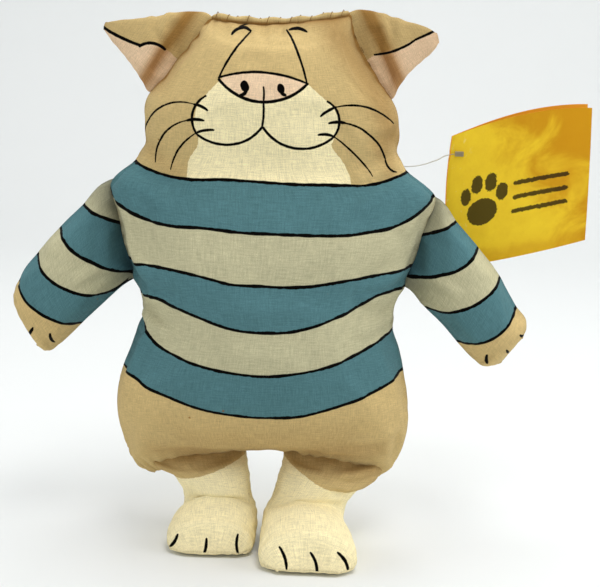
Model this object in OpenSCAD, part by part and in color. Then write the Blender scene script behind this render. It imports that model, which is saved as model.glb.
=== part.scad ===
// Stuffed cotton cat with a folded swing tag.
// It faces -Y and stands on Z = 0, and X = 0 is its middle plane.
// Left and right are the cat's own: its left side is +X.

/* [Head and torso] */
// Height of the head's closing seam above the floor
head_top = 210.6; // [209:0.2:212]
// Half width of the head across the cheeks
head_half = 48.4; // [46:0.2:49]
// How far the face stands out in front of the side seams
head_front = 24; // [18:0.5:28]
// Half width of the torso between the shoulder seams
shoulder_half = 61.6; // [60:0.2:62]
// Half width of the torso at the waist
waist_half = 50.8; // [48:0.2:52]
// Half width of the torso at the hips
hip_half = 57.2; // [54:0.2:59]
// How far the belly stands out in front of the side seams
belly_front = 32; // [26:0.5:34]
// How far the back stands out behind the side seams
back_depth = 29.5; // [24:0.5:32]

/* [Limbs] */
// Half thickness of an arm at its fullest
arm_depth = 14.5; // [10:0.5:15]
// How far the left toes reach in front of the side seams
left_toe_reach = 41; // [34:1:42]
// How far the right toes reach in front of the side seams
right_toe_reach = 25; // [22:1:30]
// Half thickness of an ear
ear_depth = 1.4; // [0.8:0.1:2]

/* [Cloth and thread] */
// Thickness of the printed cotton
cloth = 0.5; // [0.4:0.05:0.6]
// Room between the cotton and the stuffing
ease = 0.1; // [0.05:0.05:0.15]
// Diameter of the sewing thread where it shows
thread = 0.5; // [0.3:0.05:0.6]

/* [Swing tag] */
// Thickness of the folded card
card = 0.4; // [0.25:0.05:0.4]
// Width of one leaf of the card
card_width = 56; // [50:1:57]
// Height of the card's fold
card_height = 54.5; // [50:0.5:56]
// Diameter of the nylon filament
filament = 0.5; // [0.4:0.05:0.6]

/* [Hidden] */

// Half thickness of a stuffed form where its two panels are sewn together
seam = 0.2;
// The outer face of a panel stands this far outside the stuffing
skin = cloth + ease;

// Heights of the torso's landmarks
hip_z = 34.2;
waist_z = 96;
armpit_z = 106.5;
shoulder_z = 146.7;
neck_z = 158;
ear_base_z = 178;
// Half width of the head's closing seam
crown_half = 28;

// A row is one cross-section of a stuffed form:
// [x, z of the first sewn edge, x, z of the second, y of both, front depth, back depth,
//  tilt of the section in degrees, how far its middle bows along the form]
function body_row(z, half, front, back, bow = 0) =
    [-half, z, half, z, 0, front, back, 0, bow];

// Half width of the head along the straight seam at the base of an ear
function ear_base_half(z) =
    head_half + (crown_half - head_half) * (z - ear_base_z) / (head_top - ear_base_z);

body_rows = [
    body_row(hip_z, hip_half - 9.2, seam, seam, -2),
    body_row(hip_z + 4, hip_half - 6, 4.5, 4, -1.5),
    body_row(hip_z + 10, hip_half - 1.8, 11.5, 10, -0.5),
    body_row(hip_z + 20, hip_half, 21.5, 19),
    body_row(hip_z + 36, hip_half - 1, belly_front - 3, back_depth - 3),
    body_row(waist_z, waist_half, belly_front, back_depth),
    body_row(armpit_z, 53.2, belly_front - 0.5, back_depth - 0.5),
    body_row(armpit_z + 20, 57.4, belly_front - 3, back_depth - 2.5),
    body_row(shoulder_z - 7, 60.2, belly_front - 7, back_depth - 6.5),
    body_row(shoulder_z, shoulder_half, 21, 19.5),
    body_row(152, 53.5, 18.5, 17.5),
    body_row(neck_z, head_half - 0.2, 19, 18),
    body_row(neck_z + 10, head_half, head_front - 1, 21.5),
    body_row(ear_base_z, head_half, head_front, 22.5),
    body_row(ear_base_z + 10, ear_base_half(ear_base_z + 10), head_front - 0.5, 21.5),
    body_row(ear_base_z + 20, ear_base_half(ear_base_z + 20), head_front - 5.5, 17),
    body_row(ear_base_z + 28, ear_base_half(ear_base_z + 28), 9.5, 9, 1.5),
    body_row(head_top, crown_half, seam, seam, 3.2)];

function arm_row(x1, z1, x2, z2, depth) = [x1, z1, x2, z2, 0, depth, depth, 0, 0];

// The left arm, from the shoulder seam to the paw
arm_rows = [
    arm_row(63.6, 146.2, 55.6, 107, seam),
    arm_row(68.5, 140.6, 58.6, 105.2, arm_depth * 0.45),
    arm_row(74.2, 134.2, 63.6, 100.6, arm_depth * 0.8),
    arm_row(82, 125.4, 70.4, 93.4, arm_depth),
    arm_row(90.6, 114.6, 77.6, 86, arm_depth),
    arm_row(97, 104.6, 83.6, 80.8, arm_depth * 0.85),
    arm_row(101, 96.4, 89.4, 78, arm_depth * 0.55),
    arm_row(100.8, 88.6, 95.2, 79.6, seam)];

// A leg bends forward into its foot, so its sections tilt more towards the toes
function leg_rows(reach) = [
    [47.5, 32.5, 9.5, 32.5, 0, seam, seam, 0, 0],
    [45, 28.5, 8.3, 28.5, -1, 5.6, 5.6, 6, 0],
    [40.5, 23.5, 6, 23.5, -2, 10.5, 12, 12, 0],
    [37, 18.5, 3.8, 18.5, -4, 12.5, 16.5, 25, 0],
    [36, 13.5, 2.2, 13.5, -reach * 0.2, 13.5, 22, 42, 0],
    [37, 11, 1.4, 11, -reach * 0.44, 13, 18, 58, 0],
    [38, 9.5, 1.4, 9.5, -reach * 0.66, 11, 14, 74, 0],
    [36.5, 8, 3, 8, -reach * 0.88, 7, 9, 84, 0],
    [29, 7, 10, 7, -reach, seam, seam, 90, 0]];

// The left ear, from the base stitching to its tip
ear_root_top = [28.5, 212.4];
ear_root_low = [49.8, 178.6];
ear_tip_top = [64.4, 207.4];
ear_tip_low = [65.2, 204];
function ear_row(t) =
    let(a = ear_root_top + (ear_tip_top - ear_root_top) * t,
        b = ear_root_low + (ear_tip_low - ear_root_low) * t,
        depth = seam + (ear_depth - seam) * sin(180 * t))
    [a[0], a[1], b[0], b[1], 0, depth, depth, 0, 0];
ear_rows = [for (i = [0:4]) ear_row(i / 4)];

// A smooth curve through rows, with t from 0 at the first row to 1 at the last
function along(rows, t) =
    let(n = len(rows) - 1,
        i = min(floor(t * n), n - 1),
        u = t * n - i,
        a = rows[max(i - 1, 0)],
        b = rows[i],
        c = rows[i + 1],
        d = rows[min(i + 2, n)])
    0.5 * (2 * b + (c - a) * u + (2 * a - 5 * b + 4 * c - d) * u ^ 2
        + (3 * b - a - 3 * c + d) * u ^ 3);

// One point on a section, where turn runs 0 to 180 across the front and on to 360 behind.
// grow is the distance outside the stuffing, and full is how square the section is.
function section_point(row, turn, grow, full_front, full_back) =
    let(p1 = [row[0], row[4], row[1]],
        p2 = [row[2], row[4], row[3]],
        side = (p2 - p1) / norm(p2 - p1),
        half = norm(p2 - p1) / 2 + grow,
        tilt = row[7],
        out = [0, -cos(tilt), sin(tilt)],
        down = [0, -sin(tilt), -cos(tilt)],
        s = sin(turn),
        depth = s >= 0 ? (row[5] + grow) * s ^ full_front : -(row[6] + grow) * (-s) ^ full_back,
        p = (p1 + p2) / 2 + side * half * cos(turn) + out * depth + down * row[8] * s * s)
    [p[0], p[1], max(p[2], skin - grow)];

// Four-sided faces cut in two, so that both faces of a panel are cut the same way
function triangles(quads) = [for (q = quads, k = [1, 2]) [q[0], q[k], q[k + 1]]];
function reversed(faces, shift) =
    [for (face = faces) [face[2] + shift, face[1] + shift, face[0] + shift]];

// The stuffing that fills a form: a closed skin of rings, with a narrow cap at each end
module stuffing(rows, rings, sides, full_front, full_back) {
    n = 2 * sides;
    points = [for (r = [0:rings]) let(row = along(rows, r / rings))
        for (c = [0:n - 1]) section_point(row, c * 180 / sides, 0, full_front, full_back)];
    walls = triangles([for (r = [0:rings - 1], c = [0:n - 1]) let(d = (c + 1) % n)
        [r * n + c, r * n + d, (r + 1) * n + d, (r + 1) * n + c]]);
    low_cap = concat([[0, n - 1, 1], [sides - 1, sides + 1, sides]],
        triangles([for (c = [1:sides - 2]) [c, n - c, n - c - 1, c + 1]]));
    high_cap = reversed(low_cap, rings * n);
    polyhedron(points, concat(walls, low_cap, high_cap), convexity = 6);
}

// One cotton panel of a form, from side seam to side seam. first is 0 for the front panel
// and 180 for the back panel.
module panel(rows, rings, sides, first, full_front, full_back) {
    width = sides + 1;
    layer = (rings + 1) * width;
    points = [for (grow = [skin, ease], r = [0:rings]) let(row = along(rows, r / rings))
        for (c = [0:sides])
            section_point(row, first + c * 180 / sides, grow, full_front, full_back)];
    outside = triangles([for (r = [0:rings - 1], c = [0:sides - 1])
        let(i = r * width + c) [i, i + 1, i + width + 1, i + width]]);
    inside = reversed(outside, layer);
    first_edge = [for (c = [0:sides - 1]) [c, c + layer, c + layer + 1, c + 1]];
    last_edge = [for (c = [0:sides - 1]) let(i = rings * width + c)
        [i + 1, i + layer + 1, i + layer, i]];
    near_edge = [for (r = [0:rings - 1]) let(i = r * width)
        [i + width, i + width + layer, i + layer, i]];
    far_edge = [for (r = [0:rings - 1]) let(i = r * width + sides)
        [i, i + layer, i + width + layer, i + width]];
    edges = triangles(concat(first_edge, last_edge, near_edge, far_edge));
    polyhedron(points, concat(outside, inside, edges), convexity = 6);
}

// The head and torso are sewn from one front and one back panel
body_rings = 32;
body_sides = 14;
body_full = 1.25;
module body_front_panel() {
    color("cadetblue") panel(body_rows, body_rings, body_sides, 0, body_full, body_full);
}
module body_back_panel() {
    color("lightslategray") panel(body_rows, body_rings, body_sides, 180, body_full, body_full);
}
module body_stuffing() {
    color("ivory") stuffing(body_rows, body_rings, body_sides, body_full, body_full);
}

// The turned-in edge that closes the head, wavy where it was gathered
ridge_height = 1.9;
ridge_thickness = 2;
ridge_waves = 9;
function crown_z(x) = head_top - 3.2 * (1 - (x / crown_half) ^ 2);
function ridge_wave(x) = 0.3 * sin(x / crown_half * 180 * ridge_waves);
ridge_half = crown_half - 0.5;
module head_seam_ridge() {
    steps = 54;
    xs = [for (i = [0:steps]) ridge_half * (2 * i / steps - 1)];
    outline = concat([for (x = xs) [x, crown_z(x) + 0.05]],
        [for (i = [steps:-1:0]) [xs[i], crown_z(xs[i]) + ridge_height + ridge_wave(xs[i])]]);
    color("burlywood") rotate([90, 0, 0])
        linear_extrude(height = ridge_thickness, center = true) polygon(outline);
}

// Whip stitches over the ridge, evenly spaced
stitch_pitch = 4.5;
module head_closing_stitches() {
    color("wheat") for (i = [-6:6]) {
        x = i * stitch_pitch;
        translate([x, 0, crown_z(x) + ridge_height + ridge_wave(x) + thread * 0.8])
            rotate([90, 0, 0]) cylinder(h = ridge_thickness, d = thread, center = true, $fn = 16);
    }
}

ear_rings = 10;
ear_sides = 8;
ear_full = 0.7;
module ear_panel(first) {
    panel(ear_rows, ear_rings, ear_sides, first, ear_full, ear_full);
}
// Running stitches through an ear beside its fold, on both faces
module ear_stitches() {
    count = 9;
    root = ear_root_low - ear_root_top;
    inset = 1.8;
    fold_angle = atan2(root[0], root[1]);
    away = [-root[1], root[0]] / norm(root);
    for (i = [1:count], face = [-1, 1]) {
        at = ear_root_top + root * i / (count + 1) + away * inset;
        translate([at[0], face * (skin + 0.65 + thread / 2), at[1]])
            rotate([0, fold_angle, 0]) cylinder(h = 2.2, d = thread, center = true, $fn = 16);
    }
}
module ear_left_front_panel() { color("tan") ear_panel(0); }
module ear_left_back_panel() { color("tan") ear_panel(180); }
module ear_left_stitches() { color("wheat") ear_stitches(); }
module ear_right_front_panel() { color("tan") mirror([1, 0, 0]) ear_panel(0); }
module ear_right_back_panel() { color("tan") mirror([1, 0, 0]) ear_panel(180); }
module ear_right_stitches() { color("wheat") mirror([1, 0, 0]) ear_stitches(); }

limb_rings = 15;
limb_sides = 9;
arm_full = 1.4;
module arm_panel(first) {
    panel(arm_rows, limb_rings, limb_sides, first, arm_full, arm_full);
}
module arm_stuffing() {
    stuffing(arm_rows, limb_rings, limb_sides, arm_full, arm_full);
}
module arm_left_front_panel() { color("cadetblue") arm_panel(0); }
module arm_left_back_panel() { color("lightslategray") arm_panel(180); }
module arm_left_stuffing() { color("ivory") arm_stuffing(); }
module arm_right_front_panel() { color("cadetblue") mirror([1, 0, 0]) arm_panel(0); }
module arm_right_back_panel() { color("lightslategray") mirror([1, 0, 0]) arm_panel(180); }
module arm_right_stuffing() { color("ivory") mirror([1, 0, 0]) arm_stuffing(); }

// The front of a leg is round, and its sole is pressed flat
leg_full_front = 1.2;
leg_full_back = 0.6;
module leg_panel(reach, first) {
    panel(leg_rows(reach), limb_rings, limb_sides, first, leg_full_front, leg_full_back);
}
module leg_stuffing(reach) {
    stuffing(leg_rows(reach), limb_rings, limb_sides, leg_full_front, leg_full_back);
}
module leg_left_front_panel() { color("moccasin") leg_panel(left_toe_reach, 0); }
module leg_left_back_panel() { color("tan") leg_panel(left_toe_reach, 180); }
module leg_left_stuffing() { color("ivory") leg_stuffing(left_toe_reach); }
module leg_right_front_panel() {
    color("moccasin") mirror([1, 0, 0]) leg_panel(right_toe_reach, 0);
}
module leg_right_back_panel() {
    color("tan") mirror([1, 0, 0]) leg_panel(right_toe_reach, 180);
}
module leg_right_stuffing() {
    color("ivory") mirror([1, 0, 0]) leg_stuffing(right_toe_reach);
}

// The card hangs from a nylon pin at the notch in its fold, behind the left arm
notch = [75, 25.2, 158.5];
notch_r = 1.3;
fold_above_notch = 7;
// The card lies on the skew as it curls: its far edge is this much higher than its fold
card_rise = 14;
leaf_gap = 0.6;

module leaf(y, inset) {
    low = notch[2] + fold_above_notch - card_height;
    high = notch[2] + fold_above_notch;
    outline = [[inset, low], [card_width, low + card_rise],
        [card_width, high + card_rise], [inset, high]];
    difference() {
        translate([notch[0], y + card, 0]) rotate([90, 0, 0])
            linear_extrude(height = card) polygon(outline);
        translate([notch[0], y - 1, notch[2]]) rotate([-90, 0, 0])
            cylinder(h = card + 2, r = notch_r, $fn = 32);
    }
}
module tag_front_leaf() { color("gold") leaf(notch[1] - card / 2, 0); }
module tag_back_leaf() { color("goldenrod") leaf(notch[1] + card / 2 + leaf_gap, 0.6); }

// One moulded nylon pin: a bar inside the neck seam, a filament and a flat paddle
bar_length = 8;
bar_at = [47, 0, 155];
filament_route = [bar_at, [56, 2, 155.3], [66, 13, 156.8], [72.6, 23.6, 158.2],
    [notch[0], notch[1] - 0.6, notch[2]]];
paddle = [4, 0.5, 2.2];
filament_sides = 10;
// A ring of the filament's surface, square to its run across the floor
function filament_ring(i) =
    let(n = len(filament_route) - 1,
        run = filament_route[min(i + 1, n)] - filament_route[max(i - 1, 0)],
        across = [-run[1], run[0], 0] / norm([run[0], run[1]]))
    [for (k = [0:filament_sides - 1]) let(a = k * 360 / filament_sides)
        filament_route[i] + (across * cos(a) + [0, 0, sin(a)]) * filament / 2];
module tag_pin() {
    n = filament_sides;
    last = len(filament_route) - 1;
    walls = triangles([for (r = [0:last - 1], k = [0:n - 1]) let(j = (k + 1) % n)
        [r * n + k, (r + 1) * n + k, (r + 1) * n + j, r * n + j]]);
    ends = [[for (k = [0:n - 1]) k], [for (k = [n - 1:-1:0]) last * n + k]];
    color("white") {
        translate(bar_at) cylinder(h = bar_length, d = 2 * filament, center = true, $fn = 20);
        polyhedron([for (i = [0:last], p = filament_ring(i)) p], concat(walls, ends));
        translate([notch[0] - 0.6, notch[1] - 1, notch[2] - paddle[2] / 2]) cube(paddle);
    }
}

body_front_panel();
body_back_panel();
body_stuffing();
head_seam_ridge();
head_closing_stitches();
ear_left_front_panel();
ear_left_back_panel();
ear_left_stitches();
ear_right_front_panel();
ear_right_back_panel();
ear_right_stitches();
arm_left_front_panel();
arm_left_back_panel();
arm_left_stuffing();
arm_right_front_panel();
arm_right_back_panel();
arm_right_stuffing();
leg_left_front_panel();
leg_left_back_panel();
leg_left_stuffing();
leg_right_front_panel();
leg_right_back_panel();
leg_right_stuffing();
tag_pin();
tag_front_leaf();
tag_back_leaf();
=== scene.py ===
"""A stuffed cat of printed cotton, with a folded card swing tag on a nylon pin.

Run as a script, it builds the cat's cloth, stuffing, thread and tag around the loaded frame.
It faces -Y and stands on Z = 0. Left and right are the cat's own: its left side is +X.
"""

import math

import bpy
import numpy as np
from mathutils import Matrix, Vector


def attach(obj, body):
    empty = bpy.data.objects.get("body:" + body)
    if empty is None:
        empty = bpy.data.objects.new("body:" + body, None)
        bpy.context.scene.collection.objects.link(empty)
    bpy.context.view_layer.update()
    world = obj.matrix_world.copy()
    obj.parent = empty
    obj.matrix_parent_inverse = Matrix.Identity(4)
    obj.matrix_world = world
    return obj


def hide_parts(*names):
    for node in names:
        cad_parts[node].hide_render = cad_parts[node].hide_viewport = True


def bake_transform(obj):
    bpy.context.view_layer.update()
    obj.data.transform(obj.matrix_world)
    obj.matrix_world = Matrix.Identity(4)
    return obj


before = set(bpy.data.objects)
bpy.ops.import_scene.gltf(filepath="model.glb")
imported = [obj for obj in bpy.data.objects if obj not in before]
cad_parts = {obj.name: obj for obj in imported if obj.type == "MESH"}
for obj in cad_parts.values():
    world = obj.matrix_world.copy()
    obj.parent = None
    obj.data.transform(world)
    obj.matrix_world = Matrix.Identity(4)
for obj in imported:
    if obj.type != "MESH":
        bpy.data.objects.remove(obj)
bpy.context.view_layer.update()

bl_info = {
    "name": "Printed Cotton Cat",
    "version": (1, 0, 0),
    "blender": (4, 5, 0),
    "location": "View3D > Sidebar > Cat",
    "description": "Builds a stuffed cat of printed cotton with a card swing tag",
    "category": "Object",
}

MM = 0.001


def tone(code):
    """An sRGB colour code as a linear colour."""
    parts = [int(code[i : i + 2], 16) / 255 for i in (0, 2, 4)]
    return tuple(c / 12.92 if c <= 0.04045 else ((c + 0.055) / 1.055) ** 2.4 for c in parts)


# ---------------------------------------------------------------- settings


def colour_setting(name, text, code):
    return bpy.props.FloatVectorProperty(
        name=name, description=text, default=tone(code), size=3, min=0, max=1, subtype="COLOR"
    )


def length_setting(name, text, mm):
    return bpy.props.FloatProperty(
        name=name, description=text, default=mm * MM, min=0, subtype="DISTANCE", unit="LENGTH"
    )


class CatSizes(bpy.types.PropertyGroup):
    cloth: length_setting("Cloth", "Thickness of the printed cotton", 0.5)
    thread: length_setting("Thread", "Diameter of the sewing thread", 0.5)
    card: length_setting("Card", "Thickness of the folded swing tag", 0.35)
    filament: length_setting("Filament", "Diameter of the nylon filament", 0.4)
    band_line: length_setting("Band line", "Width of the inked lines between the bands", 1.15)
    sim_limit: length_setting("Puff limit", "How far the cloth may move as it is stuffed", 2.2)
    slack: bpy.props.FloatProperty(
        name="Slack",
        description="How much larger the cloth is cut than the form it covers",
        default=0.03,
        min=0,
        max=0.2,
        subtype="FACTOR",
    )
    pressure: bpy.props.FloatProperty(
        name="Pressure",
        description="How hard the stuffing presses the cloth outwards",
        default=0.1,
        min=0,
        max=20,
    )


class CatColours(bpy.types.PropertyGroup):
    tan: colour_setting("Tan", "Print of the head, belly and paws", "c7ae78")
    cream: colour_setting("Cream", "Print of the muzzle and feet", "f3e6b8")
    pink: colour_setting("Pink", "Print of the nose and inner ears", "e8cba8")
    blue: colour_setting("Blue", "Dark bands of the jumper", "51787d")
    grey: colour_setting("Grey", "Pale bands of the jumper", "bab593")
    ink: colour_setting("Ink", "Outlines of the print", "040302")
    stain: colour_setting("Stain", "Small brown specks of age", "8a5a22")
    thread: colour_setting("Thread", "Sewing thread", "8a683a")
    fibre: colour_setting("Fibre", "Polyester stuffing", "f3f0e6")
    card: colour_setting("Card", "Face of the swing tag", "fddb34")
    card_stain: colour_setting("Card stain", "Ochre stain on the swing tag", "c47f02")
    # The inner face's orange is partly the card's own colour and partly painted shade and light
    # through the card
    card_edge: colour_setting("Card edge", "Inner face of the swing tag", "f5a80c")
    nylon: colour_setting("Nylon", "Moulded tag pin", "d6d2c4")
    room: colour_setting("Room", "Floor and backdrop", "e7e9e8")


# ---------------------------------------------------------------- mesh helpers


def deselect():
    if bpy.context.object and bpy.context.object.mode != "OBJECT":
        bpy.ops.object.mode_set(mode="OBJECT")
    bpy.ops.object.select_all(action="DESELECT")


def choose(*objs):
    deselect()
    for o in objs:
        o.select_set(True)
    bpy.context.view_layer.objects.active = objs[0]


def points_of(obj):
    co = np.empty(len(obj.data.vertices) * 3, np.float32)
    obj.data.vertices.foreach_get("co", co)
    return co.reshape(-1, 3).astype(float) / MM


def move_points(obj, co):
    """Puts the mesh's points at co, in millimetres."""
    obj.data.vertices.foreach_set("co", (np.asarray(co) * MM).astype(np.float32).ravel())
    obj.data.update()


def normals_of(obj):
    n = np.empty(len(obj.data.vertices) * 3, np.float32)
    obj.data.vertices.foreach_get("normal", n)
    return n.reshape(-1, 3).astype(float)


def store(obj, name, values):
    values = np.asarray(values, np.float32)
    vector = values.ndim == 2
    kind = "FLOAT_VECTOR" if vector else "FLOAT"
    layer = obj.data.attributes.get(name) or obj.data.attributes.new(name, kind, "POINT")
    layer.data.foreach_set("vector" if vector else "value", values.ravel())


def stored(obj, name):
    values = np.empty(len(obj.data.vertices), np.float32)
    obj.data.attributes[name].data.foreach_get("value", values)
    return values.astype(float)


def apply_modifier(obj, kind, **settings):
    choose(obj)
    mod = obj.modifiers.new(kind.title(), kind)
    for key, value in settings.items():
        setattr(mod, key, value)
    bpy.ops.object.modifier_apply(modifier=mod.name)


def grid(name, across, along):
    """A flat grid whose points read as u and v from 0 to 1."""
    deselect()
    bpy.ops.mesh.primitive_grid_add(x_subdivisions=across, y_subdivisions=along, size=1)
    obj = bpy.context.object
    obj.name = obj.data.name = name
    uv = points_of(obj)[:, :2] * MM + 0.5
    return obj, uv[:, 0], uv[:, 1]


def weld(obj, reach=0.02, outward=True):
    choose(obj)
    bpy.ops.object.mode_set(mode="EDIT")
    bpy.ops.mesh.select_all(action="SELECT")
    bpy.ops.mesh.remove_doubles(threshold=reach * MM)
    bpy.ops.mesh.dissolve_degenerate(threshold=1e-6)
    if outward:
        bpy.ops.mesh.normals_make_consistent(inside=False)
    bpy.ops.object.mode_set(mode="OBJECT")


def smooth(obj, angle=None):
    choose(obj)
    if angle:
        bpy.ops.object.shade_smooth_by_angle(angle=math.radians(angle))
    else:
        bpy.ops.object.shade_smooth()


def finish_piece(obj, material, body=None, ends=None, instead=()):
    """Gives a piece its material and rides it on a body; with ends it only bakes its place into its
    points.
    """
    obj.data.materials.clear()
    obj.data.materials.append(material)
    if ends:
        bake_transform(obj)
    else:
        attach(obj, body)
    if instead:
        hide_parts(*instead)
    return obj


# ---------------------------------------------------------------- curves and sections


def through(rows, t):
    """A smooth curve through rows, with t from 0 to 1 by distance along their middles."""
    rows = np.asarray(rows, float)
    if rows.shape[1] == 9:
        middle = np.stack(
            [(rows[:, 0] + rows[:, 2]) / 2, rows[:, 4], (rows[:, 1] + rows[:, 3]) / 2], 1
        )
    else:
        middle = rows
    step = np.maximum(np.linalg.norm(np.diff(middle, axis=0), axis=1), 1e-6)
    knot = np.concatenate([[0], np.cumsum(step)]) / step.sum()
    gap = np.diff(knot)[:, None]
    slope = np.diff(rows, axis=0) / gap
    tangent = np.empty_like(rows)
    tangent[0], tangent[-1] = slope[0], slope[-1]
    tangent[1:-1] = (slope[1:] * gap[:-1] + slope[:-1] * gap[1:]) / (gap[1:] + gap[:-1])
    t = np.clip(np.asarray(t, float), 0, 1)
    i = np.clip(np.searchsorted(knot, t, side="right") - 1, 0, len(gap) - 1)
    h = gap[i]
    f = ((t - knot[i]) / h[:, 0])[:, None]
    return (
        (1 + 2 * f) * (1 - f) ** 2 * rows[i]
        + f * (1 - f) ** 2 * h * tangent[i]
        + f**2 * (3 - 2 * f) * rows[i + 1]
        + f**2 * (f - 1) * h * tangent[i + 1]
    )


def section(rows, u, v, front, full, grow=0.0):
    """Points of a stuffed form. A row is [x, z of the first sewn edge, x, z of the second,
    y of both, front depth, back depth, tilt in degrees, bow of its middle]."""
    row = through(rows, v)
    p1, p2 = row[:, [0, 4, 1]], row[:, [2, 4, 3]]
    chord = p2 - p1
    wide = np.linalg.norm(chord, axis=1, keepdims=True)
    side = chord / wide
    turn = np.pi * (1 - u) if front else np.pi * (1 + u)
    s = np.abs(np.sin(turn))
    tilt = np.radians(row[:, 7])
    out = np.stack([0 * tilt, -np.cos(tilt), np.sin(tilt)], 1)
    down = np.stack([0 * tilt, -np.sin(tilt), -np.cos(tilt)], 1)
    sign, depth = (1, row[:, 5]) if front else (-1, row[:, 6])
    depth = sign * np.maximum(depth + grow, 0) * s**full
    p = (p1 + p2) / 2 + side * np.maximum(wide / 2 + grow, 0.2) * np.cos(turn)[:, None]
    p += out * depth[:, None] + down * (row[:, 8] * s * s)[:, None]
    return p, wide[:, 0]


def path_gap(p, path):
    """Distance of flat points p from an open path, both in millimetres."""
    best = np.full(len(p), 1e9)
    path = np.asarray(path, float)
    for a, b in zip(path[:-1], path[1:]):
        d = b - a
        t = np.clip(((p - a) @ d) / max(d @ d, 1e-9), 0, 1)
        best = np.minimum(best, np.linalg.norm(p - a - t[:, None] * d, axis=1))
    return best


def inside_gap(p, outline):
    """Distance from a closed outline, positive inside it."""
    outline = np.asarray(outline, float)
    gap = path_gap(p, np.vstack([outline, outline[:1]]))
    hit = np.zeros(len(p), bool)
    for a, b in zip(outline, np.roll(outline, -1, axis=0)):
        crosses = (a[1] > p[:, 1]) != (b[1] > p[:, 1])
        edge = (b[0] - a[0]) * (p[:, 1] - a[1]) / ((b[1] - a[1]) or 1e-9) + a[0]
        hit ^= crosses & (p[:, 0] < edge)
    return np.where(hit, gap, -gap)


def band_gaps(p, lines, along):
    """For lines that cross a form one after another: the signed distance past each line."""
    along = np.array(along, float) / np.linalg.norm(along)
    across = np.array([-along[1], along[0]])
    a, b = p @ along, p @ across
    gaps = []
    for line in lines:
        line = np.asarray(line, float)
        line = line[np.argsort(line @ across)]
        fine = through(np.stack([line @ across, line @ along], 1), np.linspace(0, 1, 60))
        lead, trail = (fine[1] - fine[0]) * (1, 0.3), (fine[-1] - fine[-2]) * (1, 0.3)
        far = np.array([fine[0] - lead * 40, *fine, fine[-1] + trail * 40])
        far = far[np.argsort(far[:, 0])]
        level = np.interp(b, far[:, 0], far[:, 1])
        rise = np.interp(b + 0.3, far[:, 0], far[:, 1]) - np.interp(b - 0.3, far[:, 0], far[:, 1])
        gaps.append((a - level) * np.cos(np.arctan(rise / 0.6)))
    return gaps


def ripple(p, size, seed):
    """Smooth unevenness from -1 to 1 over points in millimetres, about size across."""
    draw = np.random.default_rng(seed)
    total = np.zeros(len(p))
    for _ in range(9):
        way = draw.normal(size=3)
        way /= np.linalg.norm(way)
        pitch = size * draw.uniform(0.7, 1.6)
        total += np.sin(p @ way * (2 * np.pi / pitch) + draw.uniform(0, 2 * np.pi))
    return total / 4.5


# ---------------------------------------------------------------- the cat's forms, in mm

# The power that rounds each form's depth, lower being fuller, and how far a limb's cloth may
# puff, in mm
FULL = {"body": 0.85, "arm": 0.8, "leg": 0.72, "ear": 0.7}
PUFF = {"arm": 1.1, "leg": 0.9}

TORSO_ROWS = [
    [-43.0, 25.6, 44.0, 26.0, 0, 0.0, 0.0, 0, -12.0],
    [-49.8, 28.8, 50.0, 29.2, 0, 7.6, 6.5, 0, -10.2],
    [-54.2, 35.6, 54.4, 35.6, 0, 14.4, 13.0, 0, -6.4],
    [-57.2, 45.2, 57.0, 45.2, 0, 20.2, 18.0, 0, -3.0],
    [-58.6, 57.0, 57.8, 57.0, 0, 25.6, 23.0, 0, -1.0],
    [-57.4, 68.0, 56.8, 68.0, 0, 29.0, 26.0, 0, 0],
    [-53.4, 80.0, 53.4, 80.0, 0, 31.4, 28.0, 0, 0],
    [-49.8, 88.2, 50.6, 88.4, 0, 32.0, 29.0, 0, 0],
    [-47.4, 94.0, 49.6, 94.4, 0, 32.0, 29.0, 0, 0],
    [-49.4, 99.6, 50.2, 100.0, 0, 32.0, 29.2, 0, 0],
    [-52.4, 107.0, 52.2, 107.0, 0, 31.4, 29.0, 0, 0],
    [-56.6, 120.0, 58.0, 120.0, 0, 30.0, 27.5, 0, 0],
    [-59.6, 134.0, 61.8, 134.0, 0, 27.0, 24.5, 0, 0],
    [-62.3, 146.4, 64.2, 145.6, 0, 21.0, 19.5, 0, 0],
    [-54.8, 152.0, 55.2, 151.4, 0, 18.5, 17.0, 0, 0],
    [-49.2, 158.0, 49.2, 158.0, 0, 19.4, 17.5, 0, 0],
    [-48.4, 168.0, 48.5, 168.0, 0, 23.4, 21.0, 0, 0],
    [-48.0, 177.0, 47.0, 177.0, 0, 24.6, 22.0, 0, 0],
    [-41.2, 187.0, 40.6, 187.0, 0, 24.0, 21.0, 0, 0.2],
    [-33.0, 198.4, 33.6, 199.4, 0, 19.0, 16.5, 0, 0.8],
    [-27.4, 205.6, 29.4, 207.6, 0, 11.0, 9.5, 0, 1.8],
    [-24.0, 209.4, 28.2, 212.4, 0, 0.0, 0.0, 0, 2.7],
]
ARM_RIGHT_ROWS = [
    [-59.0, 146.4, -52.0, 107.8, 4.2, 0.0, 0.0, 0, 0],
    [-65.8, 143.2, -56.6, 105.4, 3.4, 6.0, 7.0, 0, 0],
    [-73.3, 135.2, -63.4, 99.8, 2.0, 11.0, 11.0, 0, 0],
    [-82.4, 125.9, -71.6, 91.2, 0.6, 13.8, 13.2, 0, 0],
    [-91.0, 115.5, -78.6, 84.0, 0, 13.8, 13.8, 0, 0],
    [-98.0, 105.6, -84.0, 79.4, 0, 12.4, 12.4, 0, 0],
    [-100.2, 97.0, -88.6, 77.0, 0, 8.6, 8.6, 0, 0],
    [-98.4, 90.5, -92.2, 78.6, 0, 0.0, 0.0, 0, 0],
]
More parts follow.
